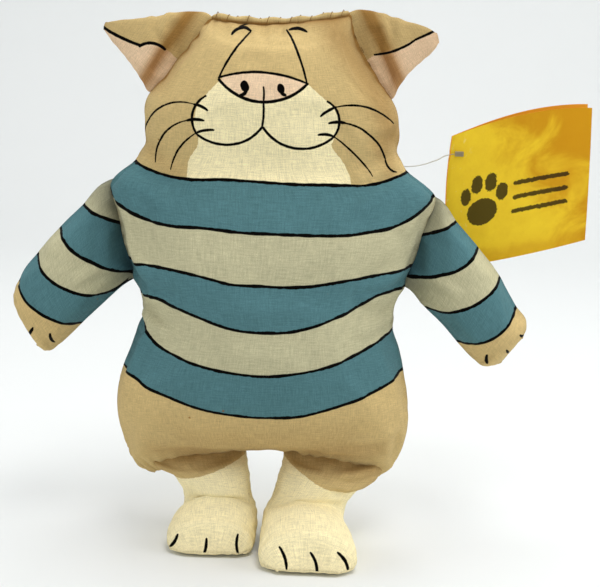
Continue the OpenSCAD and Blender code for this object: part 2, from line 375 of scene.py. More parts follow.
ARM_LEFT_ROWS = [
    [60.8, 144.6, 51.2, 108.8, 4.2, 0.0, 0.0, 0, 0],
    [67.6, 140.8, 57.6, 106.2, 3.4, 6.0, 7.0, 0, 0],
    [73.8, 133.8, 63.2, 100.2, 2.0, 11.0, 11.0, 0, 0],
    [82.8, 123.6, 71.8, 92.4, 0.6, 13.8, 13.2, 0, 0],
    [91.6, 112.7, 79.2, 84.4, 0, 13.8, 13.8, 0, 0],
    [99.2, 100.8, 85.4, 79.2, 0, 12.4, 12.4, 0, 0],
    [103.6, 92.8, 90.4, 77.2, 0, 8.6, 8.6, 0, 0],
    [102.3, 87.6, 95.4, 78.6, 0, 0.0, 0.0, 0, 0],
]
LEG_RIGHT_ROWS = [
    [-49.0, 35.4, -7.4, 41.0, 0.5, 0.0, 0.0, 0, 0],
    [-43.6, 30.2, -6.4, 34.0, -1.0, 9.0, 6.0, 6, 0],
    [-35.6, 24.6, -5.0, 27.6, -1.0, 12.0, 11.0, 8, 0],
    [-32.4, 18.5, -3.8, 19.0, 0.0, 14.5, 12.0, 16, 0],
    [-32.2, 11.0, -2.2, 11.2, 0.0, 15.5, 13.0, 36, 0],
    [-34.4, 5.6, -1.4, 5.8, -5.0, 17.0, 8.0, 62, 0],
    [-36.6, 3.3, -1.2, 3.4, -13.0, 16.0, 3.2, 84, 0],
    [-36.8, 2.6, -1.8, 2.7, -19.5, 12.5, 2.2, 90, 0],
    [-34.6, 2.2, -3.8, 2.3, -24.2, 8.6, 1.6, 95, 0],
    [-29.0, 2.0, -9.0, 2.0, -26.4, 0.0, 0.0, 100, 0],
]
LEG_LEFT_ROWS = [
    [50.0, 36.6, 8.4, 41.0, 0.5, 0.0, 0.0, 0, 0],
    [49.0, 29.5, 8.4, 34.0, -1.0, 9.4, 6.0, 6, 0],
    [43.4, 23.9, 6.8, 27.6, -1.0, 12.4, 11.0, 8, 0],
    [36.8, 18.0, 4.8, 18.6, -1.0, 14.5, 13.0, 16, 0],
    [34.6, 11.0, 2.2, 11.2, -3.0, 15.5, 14.0, 36, 0],
    [35.6, 6.0, 0.8, 6.0, -12.0, 17.0, 9.0, 60, 0],
    [38.2, 3.5, 0.2, 3.6, -23.0, 16.5, 3.6, 80, 0],
    [38.9, 2.8, 0.4, 2.9, -31.5, 14.0, 2.4, 88, 0],
    [37.2, 2.3, 2.8, 2.4, -37.8, 9.8, 1.8, 94, 0],
    [31.0, 2.0, 9.0, 2.0, -40.9, 0.0, 0.0, 100, 0],
]
EAR_RIGHT_ROWS = [
    [-21.5, 208.4, -43.0, 182.5, 1.5, 2.0, 0.3, 0, 0],
    [-26.2, 211.6, -48.0, 180.4, 1.5, 3.6, 2.2, 0, 0],
    [-32.6, 212.0, -50.8, 184.6, 1.0, 5.6, 2.4, 0, 0],
    [-40.5, 210.8, -54.0, 189.4, 0.5, 5.0, 2.2, 0, 0],
    [-51.0, 208.9, -59.0, 195.6, -0.4, 3.0, 1.8, 0, 0],
    [-60.4, 207.8, -63.6, 200.8, -1.2, 2.0, 1.5, 0, 0],
    [-64.8, 206.8, -65.6, 203.8, -1.8, 0.3, 0.3, 0, 0],
]
EAR_LEFT_ROWS = [
    [25.0, 210.6, 42.4, 182.6, 1.5, 2.0, 0.3, 0, 0],
    [28.8, 214.0, 46.4, 180.8, 1.5, 3.6, 2.2, 0, 0],
    [34.0, 214.9, 48.6, 186.0, 1.0, 5.6, 2.4, 0, 0],
    [41.2, 213.6, 52.2, 191.0, 0.5, 5.0, 2.2, 0, 0],
    [50.0, 211.2, 57.4, 196.2, -0.4, 3.0, 1.8, 0, 0],
    [58.6, 209.0, 61.8, 200.6, -1.2, 2.0, 1.5, 0, 0],
    [62.2, 207.0, 63.2, 203.2, -1.8, 0.3, 0.3, 0, 0],
]

# The print. A line is its points in (x, z), and bands alternate grey and blue between lines.
TORSO_LINES = [
    [(-52, 153.6), (-41.5, 150.5), (-30.4, 149), (-17.8, 149.6), (-5.2, 149.3), (8.2, 148.9),
     (21.6, 148.8), (38.7, 149.2), (52, 153)],
    [(-63.8, 146.1), (-61.5, 140.3), (-55.3, 136.7), (-46.5, 133.5), (-37.3, 132.2),
     (-24, 131.9), (-10.9, 130.9), (6.3, 130.7), (23.6, 130.7), (38.4, 131.9), (49.8, 134.6),
     (57.1, 138.5), (64.1, 144.2)],
    [(-56.4, 115.3), (-47.3, 115.8), (-34.2, 115.6), (-23.5, 114), (-12, 111.8), (-1.6, 111.4),
     (8.7, 111.2), (18.2, 111.8), (28.5, 113.9), (40, 115.2), (53.8, 116.2)],
    [(-52.1, 101.3), (-43.4, 103.4), (-33.9, 101), (-24.9, 98.5), (-16, 95.7), (-8.1, 94),
     (0.6, 93.7), (9.3, 94.2), (17.9, 96.4), (26.5, 99.7), (34.3, 102.9), (42.2, 106.8),
     (50.6, 107.8)],
    [(-48.4, 93.6), (-45.8, 88), (-43, 85.1), (-36.4, 82.5), (-27.3, 80.2), (-18.3, 78.3),
     (-7.7, 77.1), (2.8, 76.9), (13.3, 78.3), (23.7, 80.5), (34.2, 84), (43.2, 87.4),
     (51, 90.6)],
    [(-56.5, 71.6), (-50.9, 70.1), (-45.8, 67.7), (-36.4, 65.1), (-27.3, 62.5), (-18.3, 60.7),
     (-7.6, 59.4), (4.1, 59.2), (15.6, 60.2), (26.2, 63.2), (35, 66), (44, 68.9), (54.5, 73.3)],
]
ARM_RIGHT_LINES = [
    [(-72.9, 135.2), (-64.7, 131.2), (-57.4, 128.6)],
    [(-82, 126.1), (-76.5, 119.6), (-68.9, 114.5), (-61, 110.8), (-53.6, 109)],
    [(-90.8, 115.3), (-86.5, 109.6), (-78.7, 104.5), (-69.3, 101.4), (-61, 102.6),
     (-57.6, 105)],
    [(-98.3, 104.9), (-94.5, 99.4), (-89.6, 95.4), (-84.2, 92.2), (-78, 89.4), (-73, 88)],
]
ARM_LEFT_LINES = [
    [(73.7, 133.8), (67.4, 130.8), (58.5, 127.6)],
    [(82.4, 123.6), (76.7, 118.3), (63.3, 112.7), (52.7, 111.1)],
    [(91.3, 112), (86.3, 107.3), (79.6, 102.8), (72.2, 99.9), (64.2, 99.2)],
    [(98.8, 100), (93.4, 93.7), (87.8, 89.6), (81.7, 87.3), (77.2, 86.2)],
]
LEG_RIGHT_LINES = [[(-48, 25), (-41, 25.6), (-34.8, 26.3), (-26.5, 28.3), (-19.7, 30.8),
                    (-14.2, 33), (-9.3, 35), (-4, 37)]]
LEG_LEFT_LINES = [[(5, 38.5), (10, 35.5), (16.5, 31.5), (23, 27.6), (30, 25), (37, 23.2), (46, 22)]]
EAR_RIGHT_LINES = [[(-65.4, 204.6), (-58.4, 201.4), (-51.3, 198.2), (-47.9, 199.4), (-41.7, 197.4),
                    (-34, 191)]]
EAR_LEFT_LINES = [[(34, 194), (38.6, 198), (46.8, 200.5), (53.5, 204.1), (62.6, 208.6)]]

MUZZLE = [
    (-19.3, 187), (-24.4, 181.4), (-27.4, 177.4), (-28.8, 171.1), (-27, 166.2), (-27.4, 162.1),
    (-30.1, 158.2), (-31.1, 155.5), (-31.6, 147), (31.2, 147), (30.9, 151.5), (28.5, 156.7),
    (25.6, 160.6), (22.8, 164), (24.8, 169.5), (25.5, 173.9), (23.1, 178.7), (20.8, 180.8),
    (13.1, 187), (5, 190), (-11, 190),
]
NOSE = [
    (-19.3, 188), (-14, 189.4), (-8.6, 190.3), (-3.6, 190.6), (1.8, 190.2), (7.6, 188.9),
    (13.1, 187), (10.4, 184.8), (6.4, 182), (1.6, 180.4), (-3.6, 180), (-8.2, 180.8),
    (-13.4, 183.2), (-17.4, 186),
]

# Pen strokes: three points of an arc, then the width and how much its ends thin.
FACE_STROKES = [
    [(-15.8, 203.5), (-11.9, 206.1), (-8.8, 205), 1.0, 0.35],
    [(-14.4, 205.5), (-12.6, 206.7), (-10.2, 207.3), 0.45, 0.5],
    [(5.8, 205.9), (8.8, 206.5), (12.4, 205.3), 1.0, 0.5],
    [(-8.8, 204.6), (-14.6, 197.2), (-19.4, 188.1), 0.7, 0.3],
    [(4.9, 205.7), (9.4, 197.4), (12.9, 187.1), 0.7, 0.3],
    [(-19.5, 188.1), (-3.6, 190.6), (13.1, 187), 0.75, 0.2],
    [(-19.4, 187.4), (-3.6, 180), (13.1, 186.9), 0.95, 0.1],
    [(-10, 185.9), (-9.8, 185.4), (-9.6, 184.9), 2.5, 0],
    [(3.3, 185.4), (3.5, 185), (3.6, 184.6), 2.2, 0],
    [(-9.2, 184.6), (-9.8, 182.8), (-11.2, 182.2), 1.1, 0.2],
    [(3.9, 184.3), (4.6, 183), (5.2, 182.8), 1.1, 0.2],
    [(-2.9, 185.4), (-2.7, 182.6), (-2.8, 180.1), 0.6, 0.2],
    [(-2.8, 180.1), (-2.6, 175.5), (-3, 171), 0.7, 0.1],
    [(-3, 170.8), (-16.2, 163.3), (-27, 166.6), 0.85, 0.1],
    [(-27, 166.4), (-29.2, 173.5), (-24.2, 181.2), 0.8, 0.3],
    [(-2.6, 170.4), (10.5, 162.9), (23, 167), 0.85, 0.1],
    [(23, 167), (25.6, 173.4), (20.8, 180.8), 0.8, 0.3],
    [(-23.6, 176.2), (-26, 177.5), (-28.4, 178), 0.9, 0.3],
    [(-28.4, 178), (-41.5, 176), (-49, 164.8), 0.55, 0.5],
    [(-25, 172.3), (-28, 172.6), (-31, 172), 1.0, 0.4],
    [(-31, 172), (-39.8, 166.6), (-43.8, 154.8), 0.6, 0.5],
    [(-21.3, 168.8), (-25, 168.5), (-28, 167.4), 0.9, 0.3],
    [(-28, 167.4), (-34, 161.6), (-37.6, 152.6), 0.6, 0.5],
    [(18.6, 175.4), (21, 177.4), (24, 178.8), 0.9, 0.3],
    [(24, 178.8), (35.5, 178.8), (46.2, 172.6), 0.6, 0.5],
    [(21.8, 172.8), (25, 173.4), (28, 173), 1.0, 0.4],
    [(28, 173), (37.5, 168.3), (43.8, 159), 0.7, 0.3],
    [(43.8, 159), (45, 156), (48.4, 153.9), 0.6, 0.5],
    [(18, 168.3), (21, 168.5), (24, 167.6), 0.9, 0.3],
    [(24, 167.6), (31.3, 161.8), (39.2, 152.6), 0.6, 0.5],
]
ARM_RIGHT_STROKES = [
    [(-91.2, 88.3), (-92.2, 86.2), (-93.4, 84.4), 0.95, 0.5],
    [(-84.8, 85.9), (-85, 83.4), (-84.6, 81), 0.95, 0.5],
]
ARM_LEFT_STROKES = [
    [(100.2, 91.4), (101.8, 90.2), (103, 89.4), 0.9, 0.4],
    [(95.1, 85.8), (96, 84.4), (97, 82.9), 0.9, 0.4],
    [(88.1, 83.2), (88.4, 81.2), (88.8, 79.2), 1.0, 0.4],
]
LEG_RIGHT_STROKES = [
    [(-32.1, 8.4), (-33, 6), (-35.1, 3.2), 1.0, 0.4],
    [(-20.5, 7.4), (-20.6, 4.4), (-21.4, 1.4), 1.0, 0.4],
    [(-8.1, 9.2), (-8.5, 5.8), (-7.8, 2.4), 1.0, 0.4],
]
LEG_LEFT_STROKES = [
    [(8.7, 10.3), (10.6, 7.4), (11.7, 2.9), 1.0, 0.4],
    [(20.8, 8.8), (22.9, 5.4), (23.5, 1.2), 1.0, 0.4],
    [(31.3, 9.2), (34, 6.6), (35.5, 2.2), 1.0, 0.4],
]
EAR_RIGHT_STROKES = [
    [(-65.4, 204.7), (-58, 200.9), (-50.9, 198.4), 1.0, 0.1],
    [(-51.2, 198.2), (-46.8, 199.5), (-41.7, 197.3), 0.95, 0.1],
]
EAR_LEFT_STROKES = [
    [(38.6, 198), (46.8, 200.1), (54.2, 204.4), 0.8, 0.3],
    [(53.9, 204.2), (57.6, 206), (62.4, 208.4), 0.8, 0.1],
]

# Darker bands on the head and belly: painted shade in the hip creases, the right ear's valley and
# by the shoulders, and two bands that are only darker, along the foot of the belly and down the
# left side of the head; their path in (x, z), strength and half width
DARKER_BANDS = [
    ([(24, 205), (33, 193), (42, 180), (46, 168)], 0.6, 6.5),
    ([(-26, 44), (0, 44), (30, 46)], 0.24, 12.0),
    ([(-44, 40), (-24, 37)], 0.25, 4.0),
    ([(20, 41), (46, 42)], 0.3, 4.0),
    ([(-30, 203), (-37, 193), (-42, 184)], 0.25, 4.0),
    ([(40, 164), (45, 158), (46, 153)], 0.3, 3.5),
    ([(-46, 160), (-42, 154), (-36, 151)], 0.2, 3.5),
]

# Folds in the torso: their path in (x, z), depth and half width
TORSO_FOLDS = [
    ([(-24, 208.2), (-13, 206.2), (-4, 205.8), (6, 206.4), (17, 208.4), (28, 211)], 1.2, 1.3),
    ([(-56, 122), (-49, 114), (-40, 110)], 1.2, 2.8),
    ([(-53, 106), (-44, 103.5), (-36, 103)], 1.1, 2.2),
    ([(-47.4, 95.4), (-43.6, 91.4), (-40, 90)], 1.7, 1.9),
    ([(54, 116), (46, 112), (38, 111)], 1.0, 2.6),
    ([(52, 107), (46, 105.4), (38, 105.8)], 1.3, 2.0),
    ([(50, 97), (44, 94), (37, 93.5)], 0.9, 2.2),
    ([(-58, 150), (-53, 144), (-51, 134)], 1.2, 3.0),
    ([(-54, 152), (-46, 144), (-40, 141)], 0.7, 2.6),
    ([(58, 149), (54, 143), (53, 134)], 1.1, 3.0),
    ([(50, 150), (43, 143), (36, 141)], 0.7, 2.6),
    ([(-50, 157), (-43, 153.4), (-35, 152.4)], 1.2, 2.0),
    ([(50, 157), (43, 153.4), (34, 152.2)], 1.2, 2.0),
    ([(49, 165), (43, 162), (38, 162)], 0.8, 1.8),
    ([(48, 173), (42, 170), (38, 171)], 0.7, 1.8),
    ([(-49, 167), (-44, 165), (-40, 166)], 0.6, 1.8),
    ([(-52, 36), (-42, 33), (-30, 33.6), (-19, 36)], 0.8, 2.0),
    ([(18, 38), (28, 35.4), (41, 36)], 1.2, 1.7),
    ([(26, 42), (37, 40.4), (50, 43)], 1.0, 1.9),
    ([(34, 48), (43, 47), (53, 51)], 0.6, 2.2),
]
LEG_FOLDS = {
    "left": [
        ([(14, 36), (28, 32.6), (44, 35)], 1.0, 1.5),
        ([(26, 31), (36, 28), (48, 30)], 0.9, 1.5),
        ([(30, 24.4), (37, 22.4), (44, 22)], 0.7, 1.5),
    ],
    "right": [
        ([(-46, 33), (-30, 31), (-14, 36)], 0.9, 1.6),
        ([(-42, 27.4), (-34, 26.8), (-26, 29)], 0.6, 1.4),
    ],
}
BACK_FOLDS = [
    ([(-52, 108), (-42, 104), (-30, 103)], 0.9, 2.6),
    ([(52, 108), (43, 105), (33, 103)], 0.9, 2.6),
    ([(-48, 96), (-38, 93), (-24, 92)], 0.7, 2.4),
    ([(49, 94), (38, 92), (26, 92)], 0.7, 2.4),
    ([(-48, 156), (-30, 153), (-12, 153)], 0.8, 2.6),
    ([(48, 156), (32, 153), (14, 153)], 0.8, 2.6),
    ([(-46, 36), (-30, 36), (-10, 40)], 0.8, 2.0),
    ([(46, 36), (30, 36), (12, 40)], 0.8, 2.0),
]

# The card's plain print: ovals (x, z, half width, half height) and rules (x, z, x, z, width)
CARD_PAW = [(18.5, 20.5, 6.4, 5.2), (11.2, 27.6, 2.3, 3.3), (16.0, 31.6, 2.4, 3.5),
            (21.8, 31.4, 2.4, 3.5), (26.4, 27.0, 2.3, 3.3)]
CARD_RULES = [(31.5, 29.0, 49.0, 29.0, 1.6), (31.5, 23.6, 49.0, 23.6, 1.6),
              (31.5, 18.2, 49.0, 18.2, 1.6)]


# ---------------------------------------------------------------- material helpers


class Shader:
    """Adds nodes to a tree and links what it is given, numbers or sockets."""

    def __init__(self, tree):
        self.tree = tree

    def set(self, socket, value):
        if isinstance(value, bpy.types.NodeSocket):
            self.tree.links.new(value, socket)
        elif value is not None:
            socket.default_value = value

    def node(self, kind, inputs=None, **settings):
        n = self.tree.nodes.new(kind)
        for key, value in settings.items():
            setattr(n, key, value)
        for key, value in (inputs or {}).items():
            self.set(n.inputs[key], value)
        return n

    def math(self, operation, a, b=None, c=None, clamp=False):
        n = self.node("ShaderNodeMath", operation=operation, use_clamp=clamp)
        for i, value in enumerate((a, b, c)):
            self.set(n.inputs[i], value)
        return n.outputs[0]

    def vector(self, operation, a, b=None, scale=None):
        n = self.node("ShaderNodeVectorMath", operation=operation)
        self.set(n.inputs[0], a)
        self.set(n.inputs[1], b)
        if scale is not None:
            self.set(n.inputs["Scale"], scale)
        return n.outputs["Value" if operation in ("DOT_PRODUCT", "LENGTH") else "Vector"]

    def split(self, vector):
        n = self.node("ShaderNodeSeparateXYZ")
        self.set(n.inputs[0], vector)
        return n.outputs

    def join(self, x=0.0, y=0.0, z=0.0):
        n = self.node("ShaderNodeCombineXYZ")
        for i, value in enumerate((x, y, z)):
            self.set(n.inputs[i], value)
        return n.outputs[0]

    def mix(self, amount, a, b, blend="MIX"):
        n = self.node("ShaderNodeMix", data_type="RGBA", blend_type=blend)
        self.set(n.inputs[0], amount)
        for socket, value in ((n.inputs[6], a), (n.inputs[7], b)):
            if isinstance(value, bpy.types.NodeSocket):
                self.set(socket, value)
            else:
                socket.default_value = (*value[:3], 1)
        return n.outputs[2]

    def step(self, value, low, high, bottom=0.0, top=1.0):
        """Smoothly from bottom to top as value goes from low to high."""
        n = self.node("ShaderNodeMapRange", interpolation_type="SMOOTHSTEP")
        for i, v in enumerate((value, low, high, bottom, top)):
            self.set(n.inputs[i], v)
        return n.outputs[0]

    def noise(self, vector, scale, detail=2.0, rough=0.5, distort=0.0):
        inputs = {"Vector": vector, "Scale": scale, "Detail": detail, "Roughness": rough}
        inputs["Distortion"] = distort
        return self.node("ShaderNodeTexNoise", inputs).outputs[0]

    def grain(self, scale, detail=2.0, rough=0.5, distort=0.0):
        """Noise fixed to the object, with scale in repeats to the metre."""
        place = self.node("ShaderNodeTexCoord").outputs["Object"]
        return self.noise(self.vector("SCALE", place, scale=scale), 1.0, detail, rough, distort)

    def attribute(self, name, vector=False):
        n = self.node("ShaderNodeAttribute", attribute_name=name)
        return n.outputs["Vector" if vector else "Fac"]


def group(name, inputs, outputs):
    """A shader node group's tree, with its sockets and the nodes that reach them."""
    tree = bpy.data.node_groups.new(name, "ShaderNodeTree")
    for label, kind, value in inputs:
        socket = tree.interface.new_socket(label, in_out="INPUT", socket_type="NodeSocket" + kind)
        if value is not None:
            socket.default_value = value
    for label in outputs:
        tree.interface.new_socket(label, in_out="OUTPUT", socket_type="NodeSocketFloat")
    s = Shader(tree)
    return s, s.node("NodeGroupInput").outputs, s.node("NodeGroupOutput").inputs


def use(s, name, **inputs):
    n = s.node("ShaderNodeGroup", node_tree=bpy.data.node_groups[name])
    for key, value in inputs.items():
        s.set(n.inputs[key.replace("_", " ")], value)
    return n.outputs


def make_pen_stroke():
    """How far a flat point lies outside an arc drawn with a pen, or what came before if nearer."""
    s, i, o = group(
        "pen_stroke",
        [
            ("Before", "Float", 99.0),
            ("Point", "Vector", None),
            ("Centre", "Vector", None),
            ("Middle", "Vector", None),
            ("Radius", "Float", 1.0),
            ("Half Span", "Float", 1.0),
            ("Width", "Float", 1.0),
            ("Thinning", "Float", 0.3),
        ],
        ["Gap"],
    )
    p = s.vector("SUBTRACT", i["Point"], i["Centre"])
    reach = s.vector("LENGTH", p)
    ahead = s.vector("DOT_PRODUCT", p, i["Middle"])
    m = s.split(i["Middle"])
    aside = s.math(
        "ABSOLUTE", s.vector("DOT_PRODUCT", p, s.join(s.math("MULTIPLY", m[2], -1.0), 0.0, m[0]))
    )
    turn = s.math("ARCTAN2", aside, ahead)
    off = s.math("SUBTRACT", reach, i["Radius"])
    past = s.math("MAXIMUM", s.math("SUBTRACT", turn, i["Half Span"]), 0.0)
    past = s.math("MULTIPLY", past, i["Radius"])
    square = s.math("MULTIPLY_ADD", past, past, s.math("MULTIPLY", off, off))
    gap = s.math("SQRT", square)
    along = s.math("DIVIDE", turn, i["Half Span"], clamp=True)
    thin = s.math("MULTIPLY", s.math("POWER", along, 3.0), i["Thinning"])
    half = s.math("MULTIPLY", s.math("SUBTRACT", 1.0, thin), s.math("MULTIPLY", i["Width"], 0.5))
    s.set(o["Gap"], s.math("MINIMUM", i["Before"], s.math("SUBTRACT", gap, half)))


def make_printed_spot():
    """How far a flat point lies outside an oval, or what came before if nearer."""
    s, i, o = group(
        "printed_spot",
        [
            ("Before", "Float", 99.0),
            ("Point", "Vector", None),
            ("Centre", "Vector", None),
            ("Radii", "Vector", (1, 1, 1)),
        ],
        ["Gap"],
    )
    p = s.vector("DIVIDE", s.vector("SUBTRACT", i["Point"], i["Centre"]), i["Radii"])
    least = s.split(i["Radii"])[0]
    gap = s.math("MULTIPLY", s.math("SUBTRACT", s.vector("LENGTH", p), 1.0), least)
    s.set(o["Gap"], s.math("MINIMUM", i["Before"], gap))


def make_woven_cotton():
    """Plain weave with uneven threads: tone of the cloth, its height, and specks of age."""
    s, i, o = group(
        "woven_cotton",
        [("Cloth", "Vector", None), ("Place", "Vector", None), ("Pitch", "Float", 0.5)],
        ["Tone", "Height", "Specks", "Wobble"],
    )
    uv = s.split(i["Cloth"])
    turn = s.math("DIVIDE", 2 * math.pi, i["Pitch"])
    warp = s.math("SINE", s.math("MULTIPLY", uv[0], turn))
    weft = s.math("SINE", s.math("MULTIPLY", uv[1], turn))
    weave = s.math("MULTIPLY", warp, weft)
    slub_a = s.noise(s.vector("MULTIPLY", i["Cloth"], (2.5, 0.22, 1.0)), 1.0, 2.0)
    slub_b = s.noise(s.vector("MULTIPLY", i["Cloth"], (0.22, 2.5, 1.0)), 1.0, 2.0)
    fine = s.noise(i["Cloth"], 3.0, 2.0, 0.6)
    fleck = s.step(s.noise(i["Cloth"], 3.6, 1.0, 0.5), 0.64, 0.74)
    cloud = s.noise(i["Place"], 0.035, 3.0, 0.55)
    tone_out = s.math("MULTIPLY_ADD", slub_a, 0.52, 0.74)
    tone_out = s.math("MULTIPLY", tone_out, s.math("MULTIPLY_ADD", slub_b, 0.52, 0.74))
    tone_out = s.math("MULTIPLY", tone_out, s.math("MULTIPLY_ADD", fine, 0.56, 0.72))
    tone_out = s.math("MULTIPLY", tone_out, s.math("MULTIPLY_ADD", cloud, 0.26, 0.87))
    tone_out = s.math("MULTIPLY", tone_out, s.math("MULTIPLY_ADD", weave, 0.06, 1.0))
    tone_out = s.math("MULTIPLY_ADD", fleck, 0.2, tone_out)
    s.set(o["Tone"], tone_out)
    height = s.math("ADD", s.math("MULTIPLY", weave, 0.35), s.math("ADD", slub_a, slub_b))
    s.set(o["Height"], height)
    cells = s.node("ShaderNodeTexVoronoi", {"Vector": i["Place"], "Scale": 0.075})
    spot = s.step(cells.outputs["Distance"], 0.05, 0.02)
    rare = s.step(s.split(cells.outputs["Color"])[0], 0.62, 0.66)
    s.set(o["Specks"], s.math("MULTIPLY", spot, rare))
    wobble = s.math("SUBTRACT", s.noise(i["Place"], 0.55, 2.0, 0.6), 0.5)
    s.set(o["Wobble"], wobble)


def principled(name, **inputs):
    """A new material with an empty tree, its Principled shader and its Shader helper."""
    m = bpy.data.materials.new(name)
    m.use_nodes = True
    m.node_tree.nodes.clear()
    s = Shader(m.node_tree)
    shader = s.node("ShaderNodeBsdfPrincipled", inputs)
    s.node("ShaderNodeOutputMaterial", {"Surface": shader.outputs[0]})
    return m, s, shader


def arc_of(a, b, c):
    """(centre, radius, unit direction to the middle, half the angle) of the arc a-b-c."""
    ax, az, bx, bz, cx, cz = *a, *b, *c
    d = 2 * (ax * (bz - cz) + bx * (cz - az) + cx * (az - bz))
    if abs(d) < 1e-3:
        nx, nz = az - cz, cx - ax
        size = math.hypot(nx, nz)
        bx, bz = (ax + cx) / 2 + nx / size * 0.02, (az + cz) / 2 + nz / size * 0.02
        d = 2 * (ax * (bz - cz) + bx * (cz - az) + cx * (az - bz))
    sa, sb, sc = ax * ax + az * az, bx * bx + bz * bz, cx * cx + cz * cz
    x = (sa * (bz - cz) + sb * (cz - az) + sc * (az - bz)) / d
    z = (sa * (cx - bx) + sb * (ax - cx) + sc * (bx - ax)) / d
    radius = math.hypot(ax - x, az - z)
    turns = [math.atan2(pz - z, px - x) for px, pz in (a, b, c)]
    one = (turns[1] - turns[0] + math.pi) % (2 * math.pi) - math.pi
    two = (turns[2] - turns[1] + math.pi) % (2 * math.pi) - math.pi
    middle = turns[0] + (one + two) / 2
    return (x, z), radius, (math.cos(middle), math.sin(middle)), abs(one + two) / 2


def pen_strokes(s, point, strokes):
    gap = 99.0
    for a, b, c, width, thinning in strokes:
        centre, radius, middle, half = arc_of(a, b, c)
        gap = use(
            s, "pen_stroke", Before=gap, Point=point, Centre=(centre[0], 0, centre[1]),
            Middle=(middle[0], 0, middle[1]), Radius=radius, Half_Span=half, Width=width * 1.18,
            Thinning=thinning,
        )["Gap"]
    return gap


def printed_cotton(name, base, layers, strokes=(), band_line=0.0, cloth_size=(100, 100),
                   shade_and_stain=(0.50, 0.36, 0.22)):
    """Cotton printed in flat colours. layers are (attribute, colour) laid one on another where
    the attribute is above 0, and band_line inks the places where the bands attribute is 0."""
    colours = bpy.context.scene.cat_colours
    m, s, shader = principled(name, **{"Roughness": 0.9, "Specular IOR Level": 0.05,
                                       "Sheen Weight": 0.03, "Sheen Roughness": 0.45})
    place = s.attribute("flat", vector=True)
    cloth = s.vector("MULTIPLY", s.node("ShaderNodeUVMap").outputs[0], (*cloth_size, 1.0))
    weave = use(s, "woven_cotton", Cloth=cloth, Place=place, Pitch=0.5)
    wobble = weave["Wobble"]
    colour = base
    for attribute, layer in layers:
        edge = s.math("MULTIPLY_ADD", wobble, 0.8, s.attribute(attribute))
        colour = s.mix(s.step(edge, -0.12, 0.12), colour, layer)
    flat_point = s.vector("MULTIPLY", place, (1.0, 0.0, 1.0))
    gap = pen_strokes(s, flat_point, strokes) if strokes else None
    if band_line:
        line = s.math("ABSOLUTE", s.math("MULTIPLY_ADD", wobble, 0.3, s.attribute("bands")))
        uneven = s.noise(place, 0.16, 2.0, 0.5)
        half = s.math("MULTIPLY_ADD", uneven, band_line * 0.7, band_line * 0.15)
        line = s.math("SUBTRACT", line, half)
        gap = s.math("MINIMUM", gap, line) if gap else line
    # Painted shade: darkens the print towards the given colour in seam valleys, creases, under the
    # crown's ridge and at the roots of the limbs and ears, and along a few darker bands
    colour = s.mix(s.attribute("shade_and_stain"), colour, shade_and_stain, "MULTIPLY")
    specks = s.math("MULTIPLY", weave["Specks"], 0.75)
    colour = s.mix(specks, colour, tuple(colours.stain))
    if gap:
        gap = s.math("MULTIPLY_ADD", wobble, 0.35, gap)
        colour = s.mix(s.step(gap, 0.16, -0.08, 0.0, 1.0), colour, tuple(colours.ink))
    s.set(shader.inputs["Base Color"], s.mix(1.0, colour, weave["Tone"], "MULTIPLY"))
    bump = s.node("ShaderNodeBump", {"Strength": 0.5, "Distance": 0.00012,
                                     "Height": weave["Height"]})
    s.set(shader.inputs["Normal"], bump.outputs[0])
    return m


# ---------------------------------------------------------------- cloth forms


def stuffed_form(name, rows, across, along, full, thin=0.0):
    """A closed form of a front and a back panel sewn along their edges. Every point knows its
    distance from the side seams and from the end seams, in millimetres."""
    halves = []
    for front in (True, False):
        obj, u, v = grid(name, across, along)
        middle = section(rows, np.full(60, 0.5), np.linspace(0, 1, 60), front, full)[0]
        length = np.linalg.norm(np.diff(middle, axis=0), axis=1).sum()
        v_even = 0.45 * v + 0.55 * (0.5 - 0.5 * np.cos(np.pi * v))
        v_even = 0.5 + (v_even - 0.5) * (1 - 4.0 * thin / length)
        p, wide = section(rows, u, v_even, front, full, -1.25 * thin)
        move_points(obj, p)
        store(obj, "side_gap", np.minimum(u, 1 - u) * wide * 1.3)
        store(obj, "end_gap", np.minimum(v_even, 1 - v_even) * length)
        store(obj, "run", v_even * length)
        store(obj, "cross", (u - 0.5) * wide * 1.3)
        mark = obj.data.attributes.new("panel", "INT", "FACE")
        mark.data.foreach_set("value", [0 if front else 1] * len(obj.data.polygons))
        halves.append(obj)
    choose(*halves)
    bpy.ops.object.join()
    obj = halves[0]
    weld(obj)
    return obj


